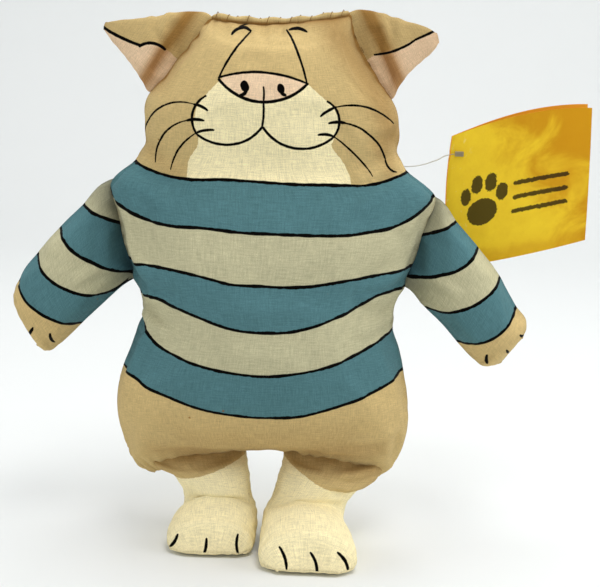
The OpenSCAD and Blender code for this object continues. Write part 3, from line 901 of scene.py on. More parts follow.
def stuff(obj, limit, slack, pressure, frames=20):
    """Fills the cloth with pressure, held at its seams, and keeps each point within limit."""
    rest = points_of(obj)
    size = 20.0
    move_points(obj, rest * size)
    seam = obj.vertex_groups.new(name="seams")
    held = np.minimum(stored(obj, "side_gap"), stored(obj, "end_gap")) < 0.05
    seam.add([int(i) for i in np.nonzero(held)[0]], 1.0, "REPLACE")
    choose(obj)
    mod = obj.modifiers.new("Stuffing", "CLOTH")
    cloth = mod.settings
    cloth.quality = 6
    cloth.mass = 0.3
    cloth.tension_stiffness = cloth.compression_stiffness = 12
    cloth.shear_stiffness = 4
    cloth.bending_stiffness = 0.3
    cloth.use_pressure = True
    cloth.uniform_pressure_force = pressure
    cloth.shrink_min = -slack
    cloth.shrink_max = -slack
    cloth.vertex_group_mass = "seams"
    cloth.effector_weights.gravity = 0
    mod.collision_settings.use_collision = False
    mod.point_cache.frame_start, mod.point_cache.frame_end = 1, frames
    for f in range(1, frames + 1):
        bpy.context.scene.frame_set(f)
    bpy.ops.object.modifier_apply(modifier=mod.name)
    bpy.context.scene.frame_set(1)
    moved = points_of(obj) / size - rest
    move_points(obj, rest)
    n = normals_of(obj)
    sunk = np.minimum((moved * n).sum(axis=1, keepdims=True) + 0.25, 0)
    moved -= sunk * n
    moved *= np.clip(stored(obj, "end_gap") / 9, 0.15, 1)[:, None]
    far = np.linalg.norm(moved, axis=1, keepdims=True)
    print(f"{obj.name}: cloth moved up to {far.max():.2f} mm, on average {far.mean():.2f} mm")
    held_back = np.minimum(1, limit * np.tanh(far / limit) / np.maximum(far, 1e-6))
    move_points(obj, rest + moved * held_back)
    obj.vertex_groups.clear()


def push(obj, amount):
    """Moves every point along its normal by amount, in millimetres."""
    move_points(obj, points_of(obj) + normals_of(obj) * np.asarray(amount)[:, None])


def crease(p, path, depth, width, front=True):
    """A fold pressed into the front or back along a path in (x, z), with raised lips."""
    gap = path_gap(p[:, [0, 2]], path) / width
    face = p[:, 1] < 1 if front else p[:, 1] > -1
    return np.where(face, -depth * np.exp(-gap**2) + 0.35 * depth * np.exp(-((gap - 1.9) ** 2)), 0)


def puckers(obj, pitch, height, reach, seed, ends=1.0, valley=0.55):
    """Small gathers square to the seams, and the seams' own valley."""
    p = points_of(obj)
    side, end = stored(obj, "side_gap"), stored(obj, "end_gap")
    run, cross = stored(obj, "run"), stored(obj, "cross")
    uneven = 0.55 + 0.45 * ripple(p, pitch * 4, seed)
    wave_side = np.sin(run * 2 * np.pi / pitch + 2.2 * ripple(p, pitch * 5, seed + 1))
    wave_end = np.sin(cross * 2 * np.pi / pitch + 2.2 * ripple(p, pitch * 5, seed + 2))
    amount = height * uneven * (
        wave_side * np.exp(-((side / reach) ** 2)) * (1 - np.exp(-((side / 1.2) ** 2)))
        + ends * wave_end * np.exp(-((end / reach) ** 2)) * (1 - np.exp(-((end / 1.2) ** 2)))
    )
    return amount - valley * np.exp(-((side / 1.1) ** 2))


def cut_panels(obj, names, thickness, root_shade=0.0, root_shade_at=0.0, root_shade_reach=6.0, seam_shade=0.35):
    """Parts a form into its front and back panels, and gives the cloth its thickness inwards."""
    choose(obj)
    which = np.empty(len(obj.data.polygons), np.int32)
    obj.data.attributes["panel"].data.foreach_get("value", which)
    obj.data.polygons.foreach_set("select", which > 0)
    obj.data.edges.foreach_set("select", np.zeros(len(obj.data.edges), bool))
    obj.data.vertices.foreach_set("select", np.zeros(len(obj.data.vertices), bool))
    bpy.context.tool_settings.mesh_select_mode = (False, False, True)
    bpy.ops.object.mode_set(mode="EDIT")
    bpy.ops.mesh.separate(type="SELECTED")
    bpy.ops.object.mode_set(mode="OBJECT")
    back = [o for o in bpy.context.selected_objects if o != obj][0]
    made = []
    for o, name in ((obj, names[0]), (back, names[1])):
        o.name = o.data.name = name
        store(o, "flat", points_of(o))
        side, end = stored(o, "side_gap"), stored(o, "end_gap")
        # Painted shade: darker along the seams' valleys, and around the given run where the piece
        # meets the body
        shade_and_stain = seam_shade * np.exp(-np.minimum(side, end) / 1.2)
        shade_and_stain += root_shade * np.exp(-(((stored(o, "run") - root_shade_at) / root_shade_reach) ** 2))
        store(o, "shade_and_stain", np.clip(shade_and_stain, 0, 1))
        smooth(o)
        apply_modifier(o, "SOLIDIFY", thickness=thickness, offset=-1, use_even_offset=False)
        made.append(o)
    return made


def add_print(obj, lines, along):
    """Stores the signed distances that the print's colours and lines follow."""
    p = points_of(obj)
    flat = np.empty(len(p) * 3, np.float32)
    obj.data.attributes["flat"].data.foreach_get("vector", flat)
    flat = flat.reshape(-1, 3).astype(float)[:, [0, 2]]
    gaps = band_gaps(flat, lines, along)
    passed = sum((g > 0).astype(int) for g in gaps)
    nearest = np.min(np.abs(gaps), axis=0)
    bands = np.where(passed % 2 == 1, nearest, -nearest)
    store(obj, "bands", bands)
    return flat, gaps, bands


def torso_print(obj, face):
    flat, gaps, bands = add_print(obj, TORSO_LINES, (0, -1))
    side = stored(obj, "side_gap")
    # Painted shade down the head's sides above z = 180, where the ears meet the head
    high = np.clip((flat[:, 1] - 180) / 4, 0, 1)
    shade_and_stain = stored(obj, "shade_and_stain") + 0.9 * high * np.exp(-((side / 2.6) ** 2))
    # Painted shadow under the crown's ridge
    shade_and_stain += 0.85 * np.exp(-(np.maximum(crown_height(flat[:, 0]) - flat[:, 1], 0) / 1.5))
    # Darker bands, most of them painted shade in creases and recesses
    for path, amount, reach in DARKER_BANDS:
        plain = (gaps[0] < 0) | (gaps[-1] > 0)
        shade_and_stain += amount * np.exp(-((path_gap(flat, path) / reach) ** 2)) * plain
    store(obj, "shade_and_stain", np.clip(shade_and_stain, 0, 1))
    jumper = np.minimum(gaps[0], -gaps[-1])
    store(obj, "jumper", jumper)
    store(obj, "blue", np.minimum(bands, jumper))
    if face:
        store(obj, "cream", np.minimum(inside_gap(flat, MUZZLE), -gaps[0]))
        store(obj, "pink", inside_gap(flat, NOSE))


def arm_print(obj, lines, along):
    _, gaps, bands = add_print(obj, lines, along)
    store(obj, "jumper", -gaps[-1])
    store(obj, "blue", np.minimum(bands, -gaps[-1]))


# ---------------------------------------------------------------- operators


class CatOperator(bpy.types.Operator):
    bl_options = {"REGISTER", "UNDO"}


class OBJECT_OT_cat_materials(CatOperator):
    """Makes the cotton, thread, card and nylon finishes"""

    bl_idname = "object.cat_materials"
    bl_label = "Cat Materials"

    def execute(self, context):
        c, sizes = context.scene.cat_colours, context.scene.cat_sizes
        make_pen_stroke()
        make_printed_spot()
        make_woven_cotton()
        line = sizes.band_line / MM
        tan, cream, pink = tuple(c.tan), tuple(c.cream), tuple(c.pink)
        jumper = [("jumper", tuple(c.grey)), ("blue", tuple(c.blue))]
        face = [("cream", cream), ("pink", pink)]
        shade = (0.42, 0.44, 0.48)
        printed_cotton("cotton_torso_front", tan, face + jumper, FACE_STROKES, line, (150, 190))
        printed_cotton("cotton_torso_back", tan, jumper, (), line, (150, 190))
        for side, strokes in (("left", ARM_LEFT_STROKES), ("right", ARM_RIGHT_STROKES)):
            printed_cotton(f"cotton_arm_{side}_front", tan, jumper, strokes, line, (46, 66), shade)
            printed_cotton(f"cotton_arm_{side}_back", tan, jumper, (), line, (46, 66), shade)
        for side, strokes in (("left", LEG_LEFT_STROKES), ("right", LEG_RIGHT_STROKES)):
            foot = [("bands", cream)]
            printed_cotton(f"cotton_leg_{side}_front", tan, foot, strokes, 0, (50, 60))
            printed_cotton(f"cotton_leg_{side}_back", tan, foot, (), 0, (50, 60))
        for side, strokes in (("left", EAR_LEFT_STROKES), ("right", EAR_RIGHT_STROKES)):
            printed_cotton(f"cotton_ear_{side}_front", tan, [("bands", pink)], strokes, 0, (42, 40))
        printed_cotton("cotton_ear_back", tan, [], (), 0, (42, 40))
        printed_cotton("cotton_seam_edge", tuple(0.95 * x for x in tan), [], (), 0, (60, 8))
        self.make_thread(c)
        self.make_fibre(c)
        self.make_nylon(c)
        self.make_card(c)
        return {"FINISHED"}

    def make_thread(self, c):
        _, s, shader = principled("thread_finish", **{"Roughness": 0.8, "Specular IOR Level": 0.1})
        twist = s.grain(2600.0)
        s.set(shader.inputs["Base Color"],
              s.mix(twist, tuple(0.6 * x for x in c.thread), tuple(1.15 * x for x in c.thread)))

    def make_fibre(self, c):
        _, s, shader = principled("fibre_finish", **{"Roughness": 0.95, "Sheen Weight": 0.3})
        tuft = s.grain(300.0, 5.0, 0.7, 1.5)
        s.set(shader.inputs["Base Color"],
              s.mix(tuft, tuple(0.72 * x for x in c.fibre), tuple(c.fibre)))
        bump = s.node("ShaderNodeBump", {"Strength": 0.6, "Distance": 0.0008, "Height": tuft})
        s.set(shader.inputs["Normal"], bump.outputs[0])

    def make_nylon(self, c):
        _, s, shader = principled("nylon_finish", **{"Roughness": 0.3, "IOR": 1.53,
                                                "Transmission Weight": 0.8})
        haze = s.grain(400.0)
        s.set(shader.inputs["Base Color"],
              s.mix(haze, tuple(0.85 * x for x in c.nylon), tuple(c.nylon)))

    def make_card(self, c):
        """Stained yellow card with a plain paw print and rules, and an orange inside that is partly
        the card's own colour and partly painted shade and light through the card.
        """
        for name, printed in (("tag_card_front", True), ("tag_card_back", False)):
            _, s, shader = principled(name, **{"Roughness": 0.6, "Specular IOR Level": 0.12})
            leaf = s.vector("MULTIPLY", s.node("ShaderNodeUVMap").outputs[0], (56.0, 54.5, 1.0))
            xyz = s.split(leaf)
            across = s.join(xyz[0], 0.0, xyz[1])
            blot = s.noise(leaf, 0.055, 4.0, 0.6, 0.6)
            # The ochre grows towards the right and the top, and gathers along the bottom edge
            high = s.math("MULTIPLY_ADD", xyz[0], 0.011, s.math("MULTIPLY", xyz[1], 0.005))
            stain = s.step(s.math("ADD", s.math("MULTIPLY", blot, 0.9), high), 0.90, 1.22)
            low = s.noise(leaf, 0.12, 4.0, 0.6)
            colour = s.mix(s.math("MULTIPLY", low, 0.42), tuple(c.card), tuple(c.card_stain))
            colour = s.mix(s.math("MULTIPLY", stain, 0.8), colour, tuple(c.card_stain))
            foot = s.step(s.math("ADD", xyz[1], s.math("MULTIPLY", low, 14.0)), 15.0, 9.0)
            colour = s.mix(s.math("MULTIPLY", foot, 0.45), colour, tuple(c.card_stain))
            # Paler patches near the fold
            fold_patches = s.step(s.noise(leaf, 0.28, 3.0, 0.55), 0.60, 0.72)
            pale = s.math("MULTIPLY", fold_patches, s.step(xyz[0], 20.0, 4.0, 0.0, 0.4))
            colour = s.mix(pale, colour, tone("f3e7a4"))
            if printed:
                gap = 99.0
                for cx, cz, rx, rz in CARD_PAW:
                    gap = use(s, "printed_spot", Before=gap, Point=across, Centre=(cx, 0, cz),
                              Radii=(rx, 1, rz))["Gap"]
                for ax, az, bx, bz, width in CARD_RULES:
                    mid = ((ax + bx) / 2, (az + bz) / 2 + 0.01)
                    centre, radius, middle, half = arc_of((ax, az), mid, (bx, bz))
                    gap = use(s, "pen_stroke", Before=gap, Point=across,
                              Centre=(centre[0], 0, centre[1]), Middle=(middle[0], 0, middle[1]),
                              Radius=radius, Half_Span=half, Width=width, Thinning=0.0)["Gap"]
                worn = s.noise(leaf, 0.9, 3.0, 0.6)
                gap = s.math("ADD", gap, s.math("MULTIPLY_ADD", worn, 1.6, -0.85))
                colour = s.mix(s.step(gap, 0.15, -0.15, 0.0, 0.9), colour, tone("120e08"))
            s.set(shader.inputs["Base Color"], colour)
            bump = s.node("ShaderNodeBump", {"Strength": 0.25, "Distance": 0.0003,
                                             "Height": s.noise(leaf, 0.8, 4.0)})
            s.set(shader.inputs["Normal"], bump.outputs[0])
        # The orange inside: partly the card's own colour, partly painted shade and light through
        # the card
        _, s, shader = principled("tag_card_inner", **{"Roughness": 0.65})
        low = s.grain(120.0, 3.0)
        s.set(shader.inputs["Base Color"],
              s.mix(low, tuple(c.card_edge), tuple(0.8 * x for x in c.card_edge)))


class OBJECT_OT_cat_torso(CatOperator):
    """Sews and stuffs the head and torso from a front and a back panel"""

    bl_idname = "object.cat_torso"
    bl_label = "Head and Torso"

    def execute(self, context):
        sizes = context.scene.cat_sizes
        obj = stuffed_form("body_form", TORSO_ROWS, 66, 84, FULL["body"])
        stuff(obj, sizes.sim_limit / MM, sizes.slack, sizes.pressure)
        apply_modifier(obj, "SUBSURF", levels=1, render_levels=1)
        p = points_of(obj)
        front = np.clip(-p[:, 1] / 12, 0, 1)
        amount = puckers(obj, 6.5, 0.55, 8.0, 11)
        amount += 0.6 * ripple(p, 34, 5) + 0.22 * ripple(p, 13, 6)
        for path, depth, width in TORSO_FOLDS:
            amount += crease(p, path, depth, width) * front
        for path, depth, width in BACK_FOLDS:
            amount += crease(p, path, depth, width, front=False)
        push(obj, amount)
        panels = cut_panels(obj, ("torso_front_cloth", "torso_back_cloth"), sizes.cloth)
        for o, face, material, node in (
            (panels[0], True, "cotton_torso_front", "body_front_panel"),
            (panels[1], False, "cotton_torso_back", "body_back_panel"),
        ):
            torso_print(o, face)
            finish_piece(o, bpy.data.materials[material], "torso",
                         instead=(node,))
        return {"FINISHED"}


class OBJECT_OT_cat_arms(CatOperator):
    """Sews and stuffs the two arms"""

    bl_idname = "object.cat_arms"
    bl_label = "Arms"

    def execute(self, context):
        sizes = context.scene.cat_sizes
        for side, rows, lines, sign, seed in (
            ("left", ARM_LEFT_ROWS, ARM_LEFT_LINES, 1, 21),
            ("right", ARM_RIGHT_ROWS, ARM_RIGHT_LINES, -1, 31),
        ):
            obj = stuffed_form(f"arm_{side}_form", rows, 30, 40, FULL["arm"])
            stuff(obj, PUFF["arm"], sizes.slack, sizes.pressure)
            apply_modifier(obj, "SUBSURF", levels=1, render_levels=1)
            p = points_of(obj)
            amount = puckers(obj, 5.0, 0.28, 5.0, seed) + 0.35 * ripple(p, 22, seed + 1)
            x = p * (sign, 1, 1)
            amount += crease(x, [(58, 112), (66, 112), (74, 108)], 0.9, 2.0)
            amount += crease(x, [(60, 132), (64, 124), (64, 116)], 0.8, 2.4)
            push(obj, amount)
            names = (f"arm_{side}_front_cloth", f"arm_{side}_back_cloth")
            # Painted shade in the armpit, strongest at the arm's root and fading over 15 mm
            panels = cut_panels(obj, names, sizes.cloth, 1.0, 0.0, 15.0)
            for o, half in zip(panels, ("front", "back")):
                arm_print(o, lines, (0.67 * sign, -0.74))
                finish_piece(
                    o, bpy.data.materials[f"cotton_arm_{side}_{half}"],
                    ends=("torso", f"arm_{side}"),
                    instead=(f"arm_{side}_{half}_panel",),
                )
        return {"FINISHED"}


class OBJECT_OT_cat_legs(CatOperator):
    """Sews and stuffs the two legs, with their feet bent forward and pressed flat"""

    bl_idname = "object.cat_legs"
    bl_label = "Legs"

    def execute(self, context):
        sizes = context.scene.cat_sizes
        for side, rows, lines, seed in (
            ("left", LEG_LEFT_ROWS, LEG_LEFT_LINES, 41),
            ("right", LEG_RIGHT_ROWS, LEG_RIGHT_LINES, 51),
        ):
            obj = stuffed_form(f"leg_{side}_form", rows, 32, 44, FULL["leg"])
            stuff(obj, PUFF["leg"], sizes.slack, sizes.pressure)
            apply_modifier(obj, "SUBSURF", levels=1, render_levels=1)
            p = points_of(obj)
            amount = puckers(obj, 5.0, 0.25, 5.0, seed, valley=0.12) + 0.3 * ripple(p, 20, seed + 1)
            for path, depth, width in LEG_FOLDS[side]:
                amount += crease(p, path, depth, width)
            push(obj, amount)
            p, n = points_of(obj), normals_of(obj)
            tuck = 2.4 * np.clip(1 - p[:, 2] / 4, 0, 1) ** 1.5
            tuck *= np.clip(stored(obj, "end_gap") / 5, 0, 1)
            p[:, :2] -= n[:, :2] * tuck[:, None]
            p[:, 2] = np.where(p[:, 2] < 1.2, 1.2 * np.exp(p[:, 2] / 1.2 - 1), p[:, 2])
            move_points(obj, p)
            names = (f"leg_{side}_front_cloth", f"leg_{side}_back_cloth")
            # Painted shade where the leg meets the body, and a faint painted contact shadow along
            # its seams
            panels = cut_panels(obj, names, sizes.cloth, 0.5, 4.0, 6.0, 0.12)
            for o, half in zip(panels, ("front", "back")):
                add_print(o, lines, (0, -1))
                finish_piece(
                    o, bpy.data.materials[f"cotton_leg_{side}_{half}"],
                    ends=("torso", f"leg_{side}"),
                    instead=(f"leg_{side}_{half}_panel",),
                )
        return {"FINISHED"}


class OBJECT_OT_cat_ears(CatOperator):
    """Sews the two lightly filled ears, folded forward at their roots"""

    bl_idname = "object.cat_ears"
    bl_label = "Ears"

    def execute(self, context):
        sizes = context.scene.cat_sizes
        for side, rows, lines, sign, seed in (
            ("left", EAR_LEFT_ROWS, EAR_LEFT_LINES, 1, 61),
            ("right", EAR_RIGHT_ROWS, EAR_RIGHT_LINES, -1, 71),
        ):
            obj = stuffed_form(f"ear_{side}_form", rows, 26, 26, FULL["ear"])
            apply_modifier(obj, "SUBSURF", levels=1, render_levels=1)
            p = points_of(obj)
            x = p * (sign, 1, 1)
            amount = puckers(obj, 5.0, 0.15, 4.0, seed, ends=1.6)
            amount += crease(x, [(44, 211), (45.5, 205), (44, 201)], 0.9, 1.6)
            amount += crease(x, [(39, 206), (41, 198), (45, 190)], 1.1, 2.0)
            push(obj, amount)
            names = (f"ear_{side}_front_cloth", f"ear_{side}_back_cloth")
            # Painted shade in the fold near the ear's root
            panels = cut_panels(obj, names, sizes.cloth * 0.8, 1.0, 9.8, 3.2)
            for o, half in zip(panels, ("front", "back")):
                add_print(o, lines, (0, -1))
                # Painted shade: the backs keep a third of it, and the left ear is painted darker
                # all over than the right
                stain = stored(o, "shade_and_stain") * (1 if half == "front" else 0.35)
                store(o, "shade_and_stain", np.clip(stain + (0.2 if side == "left" else 0.08), 0, 1))
                material = f"cotton_ear_{side}_front" if half == "front" else "cotton_ear_back"
                finish_piece(
                    o, bpy.data.materials[material],
                    ends=("torso", f"ear_{side}"),
                    instead=(f"ear_{side}_{half}_panel",),
                )
        return {"FINISHED"}


class OBJECT_OT_cat_filling(CatOperator):
    """Packs the torso, arms and legs with fibre"""

    bl_idname = "object.cat_filling"
    bl_label = "Stuffing"

    def execute(self, context):
        for name, rows, across, along, seed in (
            ("body", TORSO_ROWS, 34, 48, 81),
            ("arm_left", ARM_LEFT_ROWS, 14, 18, 82),
            ("arm_right", ARM_RIGHT_ROWS, 14, 18, 83),
            ("leg_left", LEG_LEFT_ROWS, 14, 20, 84),
            ("leg_right", LEG_RIGHT_ROWS, 14, 20, 85),
        ):
            limb = name.split("_")[0]
            obj = stuffed_form(f"{name}_fibre", rows, across, along, FULL[limb], thin=3.2)
            p = points_of(obj)
            push(obj, 0.5 * ripple(p, 9, seed) - 0.2)
            p = points_of(obj)
            p[:, 2] = np.maximum(p[:, 2], 1.6)
            move_points(obj, p)
            for layer in ("side_gap", "end_gap", "run", "cross", "panel"):
                obj.data.attributes.remove(obj.data.attributes[layer])
            smooth(obj)
            material = bpy.data.materials["fibre_finish"]
            if name == "body":
                finish_piece(obj, material, "torso", instead=("body_stuffing",))
            else:
                finish_piece(obj, material, ends=("torso", name),
                             instead=(f"{name}_stuffing",))
        return {"FINISHED"}


def rod(name, path, radius, around=10, rings=24):
    """A round-ended rod along a smooth path, in millimetres."""
    obj, u, v = grid(name, around, rings)
    centre = through(path, v)
    ahead = through(path, np.minimum(v + 0.01, 1)) - through(path, np.maximum(v - 0.01, 0))
    ahead /= np.linalg.norm(ahead, axis=1, keepdims=True)
    guide = np.array([0.0, 0.0, 1.0]) if abs(ahead[:, 2]).mean() < 0.8 else np.array([1.0, 0, 0])
    out = np.cross(ahead, guide)
    out /= np.linalg.norm(out, axis=1, keepdims=True)
    up = np.cross(out, ahead)
    turn = (u * 2 * np.pi)[:, None]
    end = np.minimum(v, 1 - v) * rings
    size = radius * np.sqrt(np.clip(1 - (1 - np.clip(end, 0, 1)) ** 2, 0, 1))[:, None]
    move_points(obj, centre + (out * np.cos(turn) + up * np.sin(turn)) * size)
    weld(obj, reach=0.004)
    smooth(obj)
    return obj


def crown_height(x):
    """Height of the head's closing seam at x."""
    u = (x - 2.1) / 26.1
    return 210.9 - 2.7 * (1 - u * u) + 1.5 * u


def ridge_wander(x):
    """How far back the closing seam's ridge wanders at x."""
    return 0.55 * np.sin(x * 0.46 + 0.6) + 0.35 * np.sin(x * 1.05 + 1.0)


def ridge_rise(x):
    """How high the ridge stands on the closing seam at x."""
    return 2.5 + 0.35 * np.sin(x * 0.63 + 2)


class OBJECT_OT_cat_crown(CatOperator):
    """Sews the head's closing seam, a turned-in ridge with whip stitches, and the ears'
    stitching"""

    bl_idname = "object.cat_crown"
    bl_label = "Closing Seam and Stitches"

    def execute(self, context):
        sizes = context.scene.cat_sizes
        self.make_ridge()
        self.make_whip_stitches(sizes.thread / MM)
        for side, rows, sign in (("left", EAR_LEFT_ROWS, 1), ("right", EAR_RIGHT_ROWS, -1)):
            self.make_ear_stitches(side, rows, sign, sizes.thread / MM)
        return {"FINISHED"}

    def make_ridge(self):
        obj, u, v = grid("crown_ridge", 120, 16)
        x = -24.6 + 53.4 * u
        turn = np.pi * (v * 2 - 1)
        taper = np.sqrt(np.clip(1 - np.abs(2 * u - 1) ** 14, 0, 1))
        y = 1.6 * np.sin(turn) * taper * (1 + 0.2 * np.sin(x * 0.8)) + ridge_wander(x)
        height = ridge_rise(x) * taper
        z = crown_height(x) - 1.2 + (1.2 + height) * (0.5 + 0.5 * np.cos(turn)) ** 0.8
        z -= 0.35 * np.exp(-((turn / 0.16) ** 2)) * taper
        move_points(obj, np.stack([x, y, z], 1))
        weld(obj, reach=0.01)
        p = points_of(obj)
        store(obj, "flat", p)
        # Painted shadow along the ridge's foot
        store(obj, "shade_and_stain", np.exp(-(((p[:, 2] - crown_height(p[:, 0])) / 0.9) ** 2)))
        smooth(obj)
        finish_piece(obj, bpy.data.materials["cotton_seam_edge"], "torso",
                     instead=("head_seam_ridge",))

    def make_whip_stitches(self, thread):
        pieces = []
        for i in range(-6, 7):
            x = 2.1 + i * 4.0 + 0.4 * math.sin(i * 2.1)
            base = crown_height(x)
            wave = ridge_wander(x)
            top = base + ridge_rise(x)
            path = [(x - 0.9, wave - 1.8, base - 0.1), (x - 0.6, wave - 1.58, base + 1.1),
                    (x - 0.1, wave - 0.6, top + 0.05), (x + 0.1, wave + 0.6, top + 0.05),
                    (x + 0.6, wave + 1.58, base + 1.1), (x + 0.9, wave + 1.8, base - 0.1)]
            pieces.append(rod("whip_stitch", path, thread * 0.26, 8, 14))
        self.gather(pieces, "crown_whip_stitches", "torso", ("head_closing_stitches",))

    def make_ear_stitches(self, side, rows, sign, thread):
        """Running stitches that pull the ear to the head, along its root on both faces."""
        pieces = []
        for front in (True, False):
            for i in range(8):
                u = 0.10 + 0.8 * i / 7
                us, vs = np.array([u - 0.026, u, u + 0.026]), np.full(3, 0.055)
                p, _ = section(rows, us, vs, front, FULL["ear"])
                p[:, 1] += (-1 if front else 1) * np.array([0.0, 0.42, 0.0])
                pieces.append(rod("ear_stitch", p, thread * 0.28, 8, 8))
        self.gather(pieces, f"ear_{side}_stitching", f"ear_{side}", (f"ear_{side}_stitches",),
                    sign)

    def gather(self, pieces, name, body, nodes, sign=0):
        choose(*pieces)
        bpy.ops.object.join()
        obj = pieces[0]
        obj.name = obj.data.name = name
        material = bpy.data.materials["thread_finish"]
        if sign:
            finish_piece(obj, material, ends=("torso", body),
                         instead=nodes)
        else:
            finish_piece(obj, material, body, instead=nodes)


def leaf_points(s, t, back):
    """A leaf of the swing tag, s from the fold to the free edge and t from bottom to top."""
    x = 75 + 56.0 * s
    low, high = 110.6 + 13.8 * s, 165.6 + 13.4 * s
    z = low + (high - low) * t
    bulge = 4 * s * (1 - s)
    z += bulge * (3.4 * t - 0.8 * (1 - t))
    x += -3.2 * (1 - s) ** 6 * np.clip(1 - ((t - 0.62) / 0.62) ** 2, 0, 1) - 1.4 * t * s
    if back:
        x += -1.0 * t * s
        z += 1.2 * t * s
        y = 25.9 + 5.0 * s**0.8 * (0.3 + 0.7 * t) + 0.5 * np.sin(np.pi * s)
    else:
        y = 25.1 + 1.2 * s * (2 * t - 1) ** 2 - 1.6 * np.sin(np.pi * s) * (0.4 + 0.6 * t)
    near = np.exp(-s / 0.012)
    return x, y + (25.55 - y) * near, z


class OBJECT_OT_cat_tag(CatOperator):
    """Folds the card swing tag, with a notch in its fold for the pin"""

    bl_idname = "object.cat_tag"
    bl_label = "Swing Tag"

    def execute(self, context):
        thickness = context.scene.cat_sizes.card
        for name, back, node in (
            ("tag_front_leaf_card", False, "tag_front_leaf"),
            ("tag_back_leaf_card", True, "tag_back_leaf"),
        ):
            obj, u, v = grid(name, 56, 56)
            s = 0.35 * u + 0.65 * u**1.6
            x, y, z = leaf_points(s, v, back)
            notch = np.hypot(x - 73.6, (z - 157.6) / 2.2)
            x = np.where((u < 0.12) & (notch < 1.5), x + (1.5 - notch) * 0.9, x)
            move_points(obj, np.stack([x, y, z], 1))
            if (normals_of(obj)[:, 1].mean() > 0) != back:
                choose(obj)
                bpy.ops.object.mode_set(mode="EDIT")
                bpy.ops.mesh.select_all(action="SELECT")
                bpy.ops.mesh.flip_normals()
                bpy.ops.object.mode_set(mode="OBJECT")
            obj.data.materials.clear()
            outer = "tag_card_back" if back else "tag_card_front"
            for material in (outer, "tag_card_inner"):
                obj.data.materials.append(bpy.data.materials[material])
            apply_modifier(obj, "SOLIDIFY", thickness=thickness, offset=-1,
                           material_offset=1, material_offset_rim=1)
            smooth(obj, 40)
            if back:
                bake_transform(obj)
            else:
                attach(obj, "tag_front")
            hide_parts(node)
        return {"FINISHED"}


class OBJECT_OT_cat_pin(CatOperator):
    """Moulds the nylon pin: a bar in the neck seam, a filament and a paddle at the tag"""

    bl_idname = "object.cat_pin"
    bl_label = "Tag Pin"

    def execute(self, context):
        r = context.scene.cat_sizes.filament / MM / 2
        bar = rod("tag_pin_moulding", [(47, 0, 151.2), (47, 0, 155), (47, 0, 158.8)], 0.5)
        line = rod("filament", [(47, 0, 155), (56, 2, 155.3), (66, 13, 156.8),
                                (72.6, 23.6, 158.2), (75, 24.6, 158.5)], r, 10, 40)
        deselect()
        bpy.ops.mesh.primitive_cube_add(size=1, location=(76.4 * MM, 24.45 * MM, 158.5 * MM))
        paddle = bpy.context.object
        bpy.ops.transform.resize(value=(3.6 * MM, 0.5 * MM, 2.0 * MM))
        bpy.ops.object.transform_apply(location=True, rotation=True, scale=True)
        apply_modifier(paddle, "BEVEL", width=0.2 * MM, segments=3)
        choose(bar, line, paddle)
        bpy.ops.object.join()
        smooth(bar, 40)
        finish_piece(bar, bpy.data.materials["nylon_finish"], "torso",
                     instead=("tag_pin",))
        return {"FINISHED"}


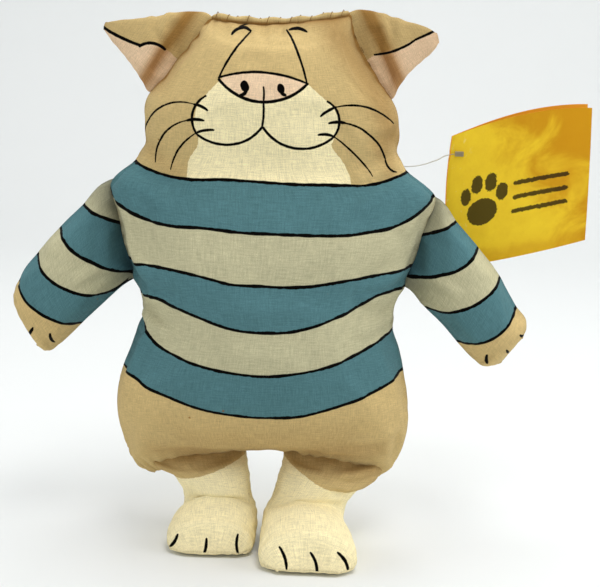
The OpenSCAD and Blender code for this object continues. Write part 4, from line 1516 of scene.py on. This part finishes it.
class OBJECT_OT_cat_stage(CatOperator):
    """Sets the pale floor and backdrop, the soft lights and the camera"""

    bl_idname = "object.cat_stage"
    bl_label = "Stage"

    def execute(self, context):
        scene = context.scene
        floor, u, v = grid("floor", 24, 60)
        x = (u - 0.5) * 3400
        run = v * 3600 - 1500
        bend, turn_at = 260.0, 700.0
        angle = np.clip((run - turn_at) / bend, 0, np.pi / 2)
        y = np.minimum(run, turn_at) + bend * np.sin(angle)
        z = bend * (1 - np.cos(angle)) + np.maximum(run - turn_at - bend * np.pi / 2, 0)
        move_points(floor, np.stack([x, y, z - 0.02], 1))
        smooth(floor)
        m, s, shader = principled("pale_floor", **{"Roughness": 0.85, "Specular IOR Level": 0.2})
        shade = s.grain(3.0)
        room = tuple(scene.cat_colours.room)
        s.set(shader.inputs["Base Color"], s.mix(shade, tuple(0.97 * c for c in room), room))
        floor.data.materials.append(m)
        world = bpy.data.worlds.new("pale_room")
        scene.world = world
        world.use_nodes = True
        world.node_tree.nodes["Background"].inputs[0].default_value = (0.95, 0.97, 1.0, 1)
        world.node_tree.nodes["Background"].inputs[1].default_value = 0.31
        for name, place, size, power in (
            ("key_light", (0.20, -0.45, 1.15), 0.5, 5.6),
            ("top_light", (0.10, 0.25, 1.20), 0.9, 7.5),
            ("right_light", (1.05, -0.10, 0.55), 0.7, 4.4),
            ("left_light", (-1.05, -0.15, 0.55), 0.7, 2.6),
            ("front_light", (-0.2, -1.20, 0.45), 0.8, 1.9),
        ):
            bpy.ops.object.light_add(type="AREA", location=place)
            light = bpy.context.object
            light.name, light.data.name = name, name
            light.data.size, light.data.energy = size, power
            aim = Vector((0.01, 0, 0.1)) - Vector(place)
            light.rotation_euler = aim.to_track_quat("-Z", "Y").to_euler()
        tilt, distance = math.radians(12), 0.520
        aim = Vector((0.0132, 0, 0.103))
        bpy.ops.object.camera_add()
        camera = bpy.context.object
        camera.location = aim + distance * Vector((0, -math.cos(tilt), math.sin(tilt)))
        level = Matrix.Rotation(math.radians(90) - tilt, 4, "X")
        roll = Matrix.Rotation(math.radians(2), 4, "Z")
        camera.matrix_world = Matrix.Translation(camera.location) @ level @ roll
        camera.data.lens = 78
        camera.data.sensor_width = 36
        camera.data.clip_start = 0.01
        scene.camera = camera
        scene.view_settings.view_transform = "Standard"
        return {"FINISHED"}


class VIEW3D_PT_cat(bpy.types.Panel):
    bl_label = "Printed Cotton Cat"
    bl_idname = "VIEW3D_PT_cat"
    bl_space_type = "VIEW_3D"
    bl_region_type = "UI"
    bl_category = "Cat"

    def draw(self, context):
        for operator in OPERATORS:
            self.layout.operator(operator.bl_idname)
        for settings in (context.scene.cat_sizes, context.scene.cat_colours):
            box = self.layout.box()
            for key in settings.__annotations__:
                box.prop(settings, key)


OPERATORS = (
    OBJECT_OT_cat_materials,
    OBJECT_OT_cat_torso,
    OBJECT_OT_cat_arms,
    OBJECT_OT_cat_legs,
    OBJECT_OT_cat_ears,
    OBJECT_OT_cat_filling,
    OBJECT_OT_cat_crown,
    OBJECT_OT_cat_tag,
    OBJECT_OT_cat_pin,
    OBJECT_OT_cat_stage,
)
CLASSES = (CatSizes, CatColours, *OPERATORS, VIEW3D_PT_cat)


def register():
    for cls in CLASSES:
        bpy.utils.register_class(cls)
    bpy.types.Scene.cat_sizes = bpy.props.PointerProperty(type=CatSizes)
    bpy.types.Scene.cat_colours = bpy.props.PointerProperty(type=CatColours)


def unregister():
    del bpy.types.Scene.cat_sizes
    del bpy.types.Scene.cat_colours
    for cls in reversed(CLASSES):
        bpy.utils.unregister_class(cls)


def main():
    register()
    bpy.ops.object.cat_materials()
    bpy.ops.object.cat_torso()
    bpy.ops.object.cat_arms()
    bpy.ops.object.cat_legs()
    bpy.ops.object.cat_ears()
    bpy.ops.object.cat_filling()
    bpy.ops.object.cat_crown()
    bpy.ops.object.cat_tag()
    bpy.ops.object.cat_pin()
    bpy.ops.object.cat_stage()


if __name__ == "__main__":
    main()
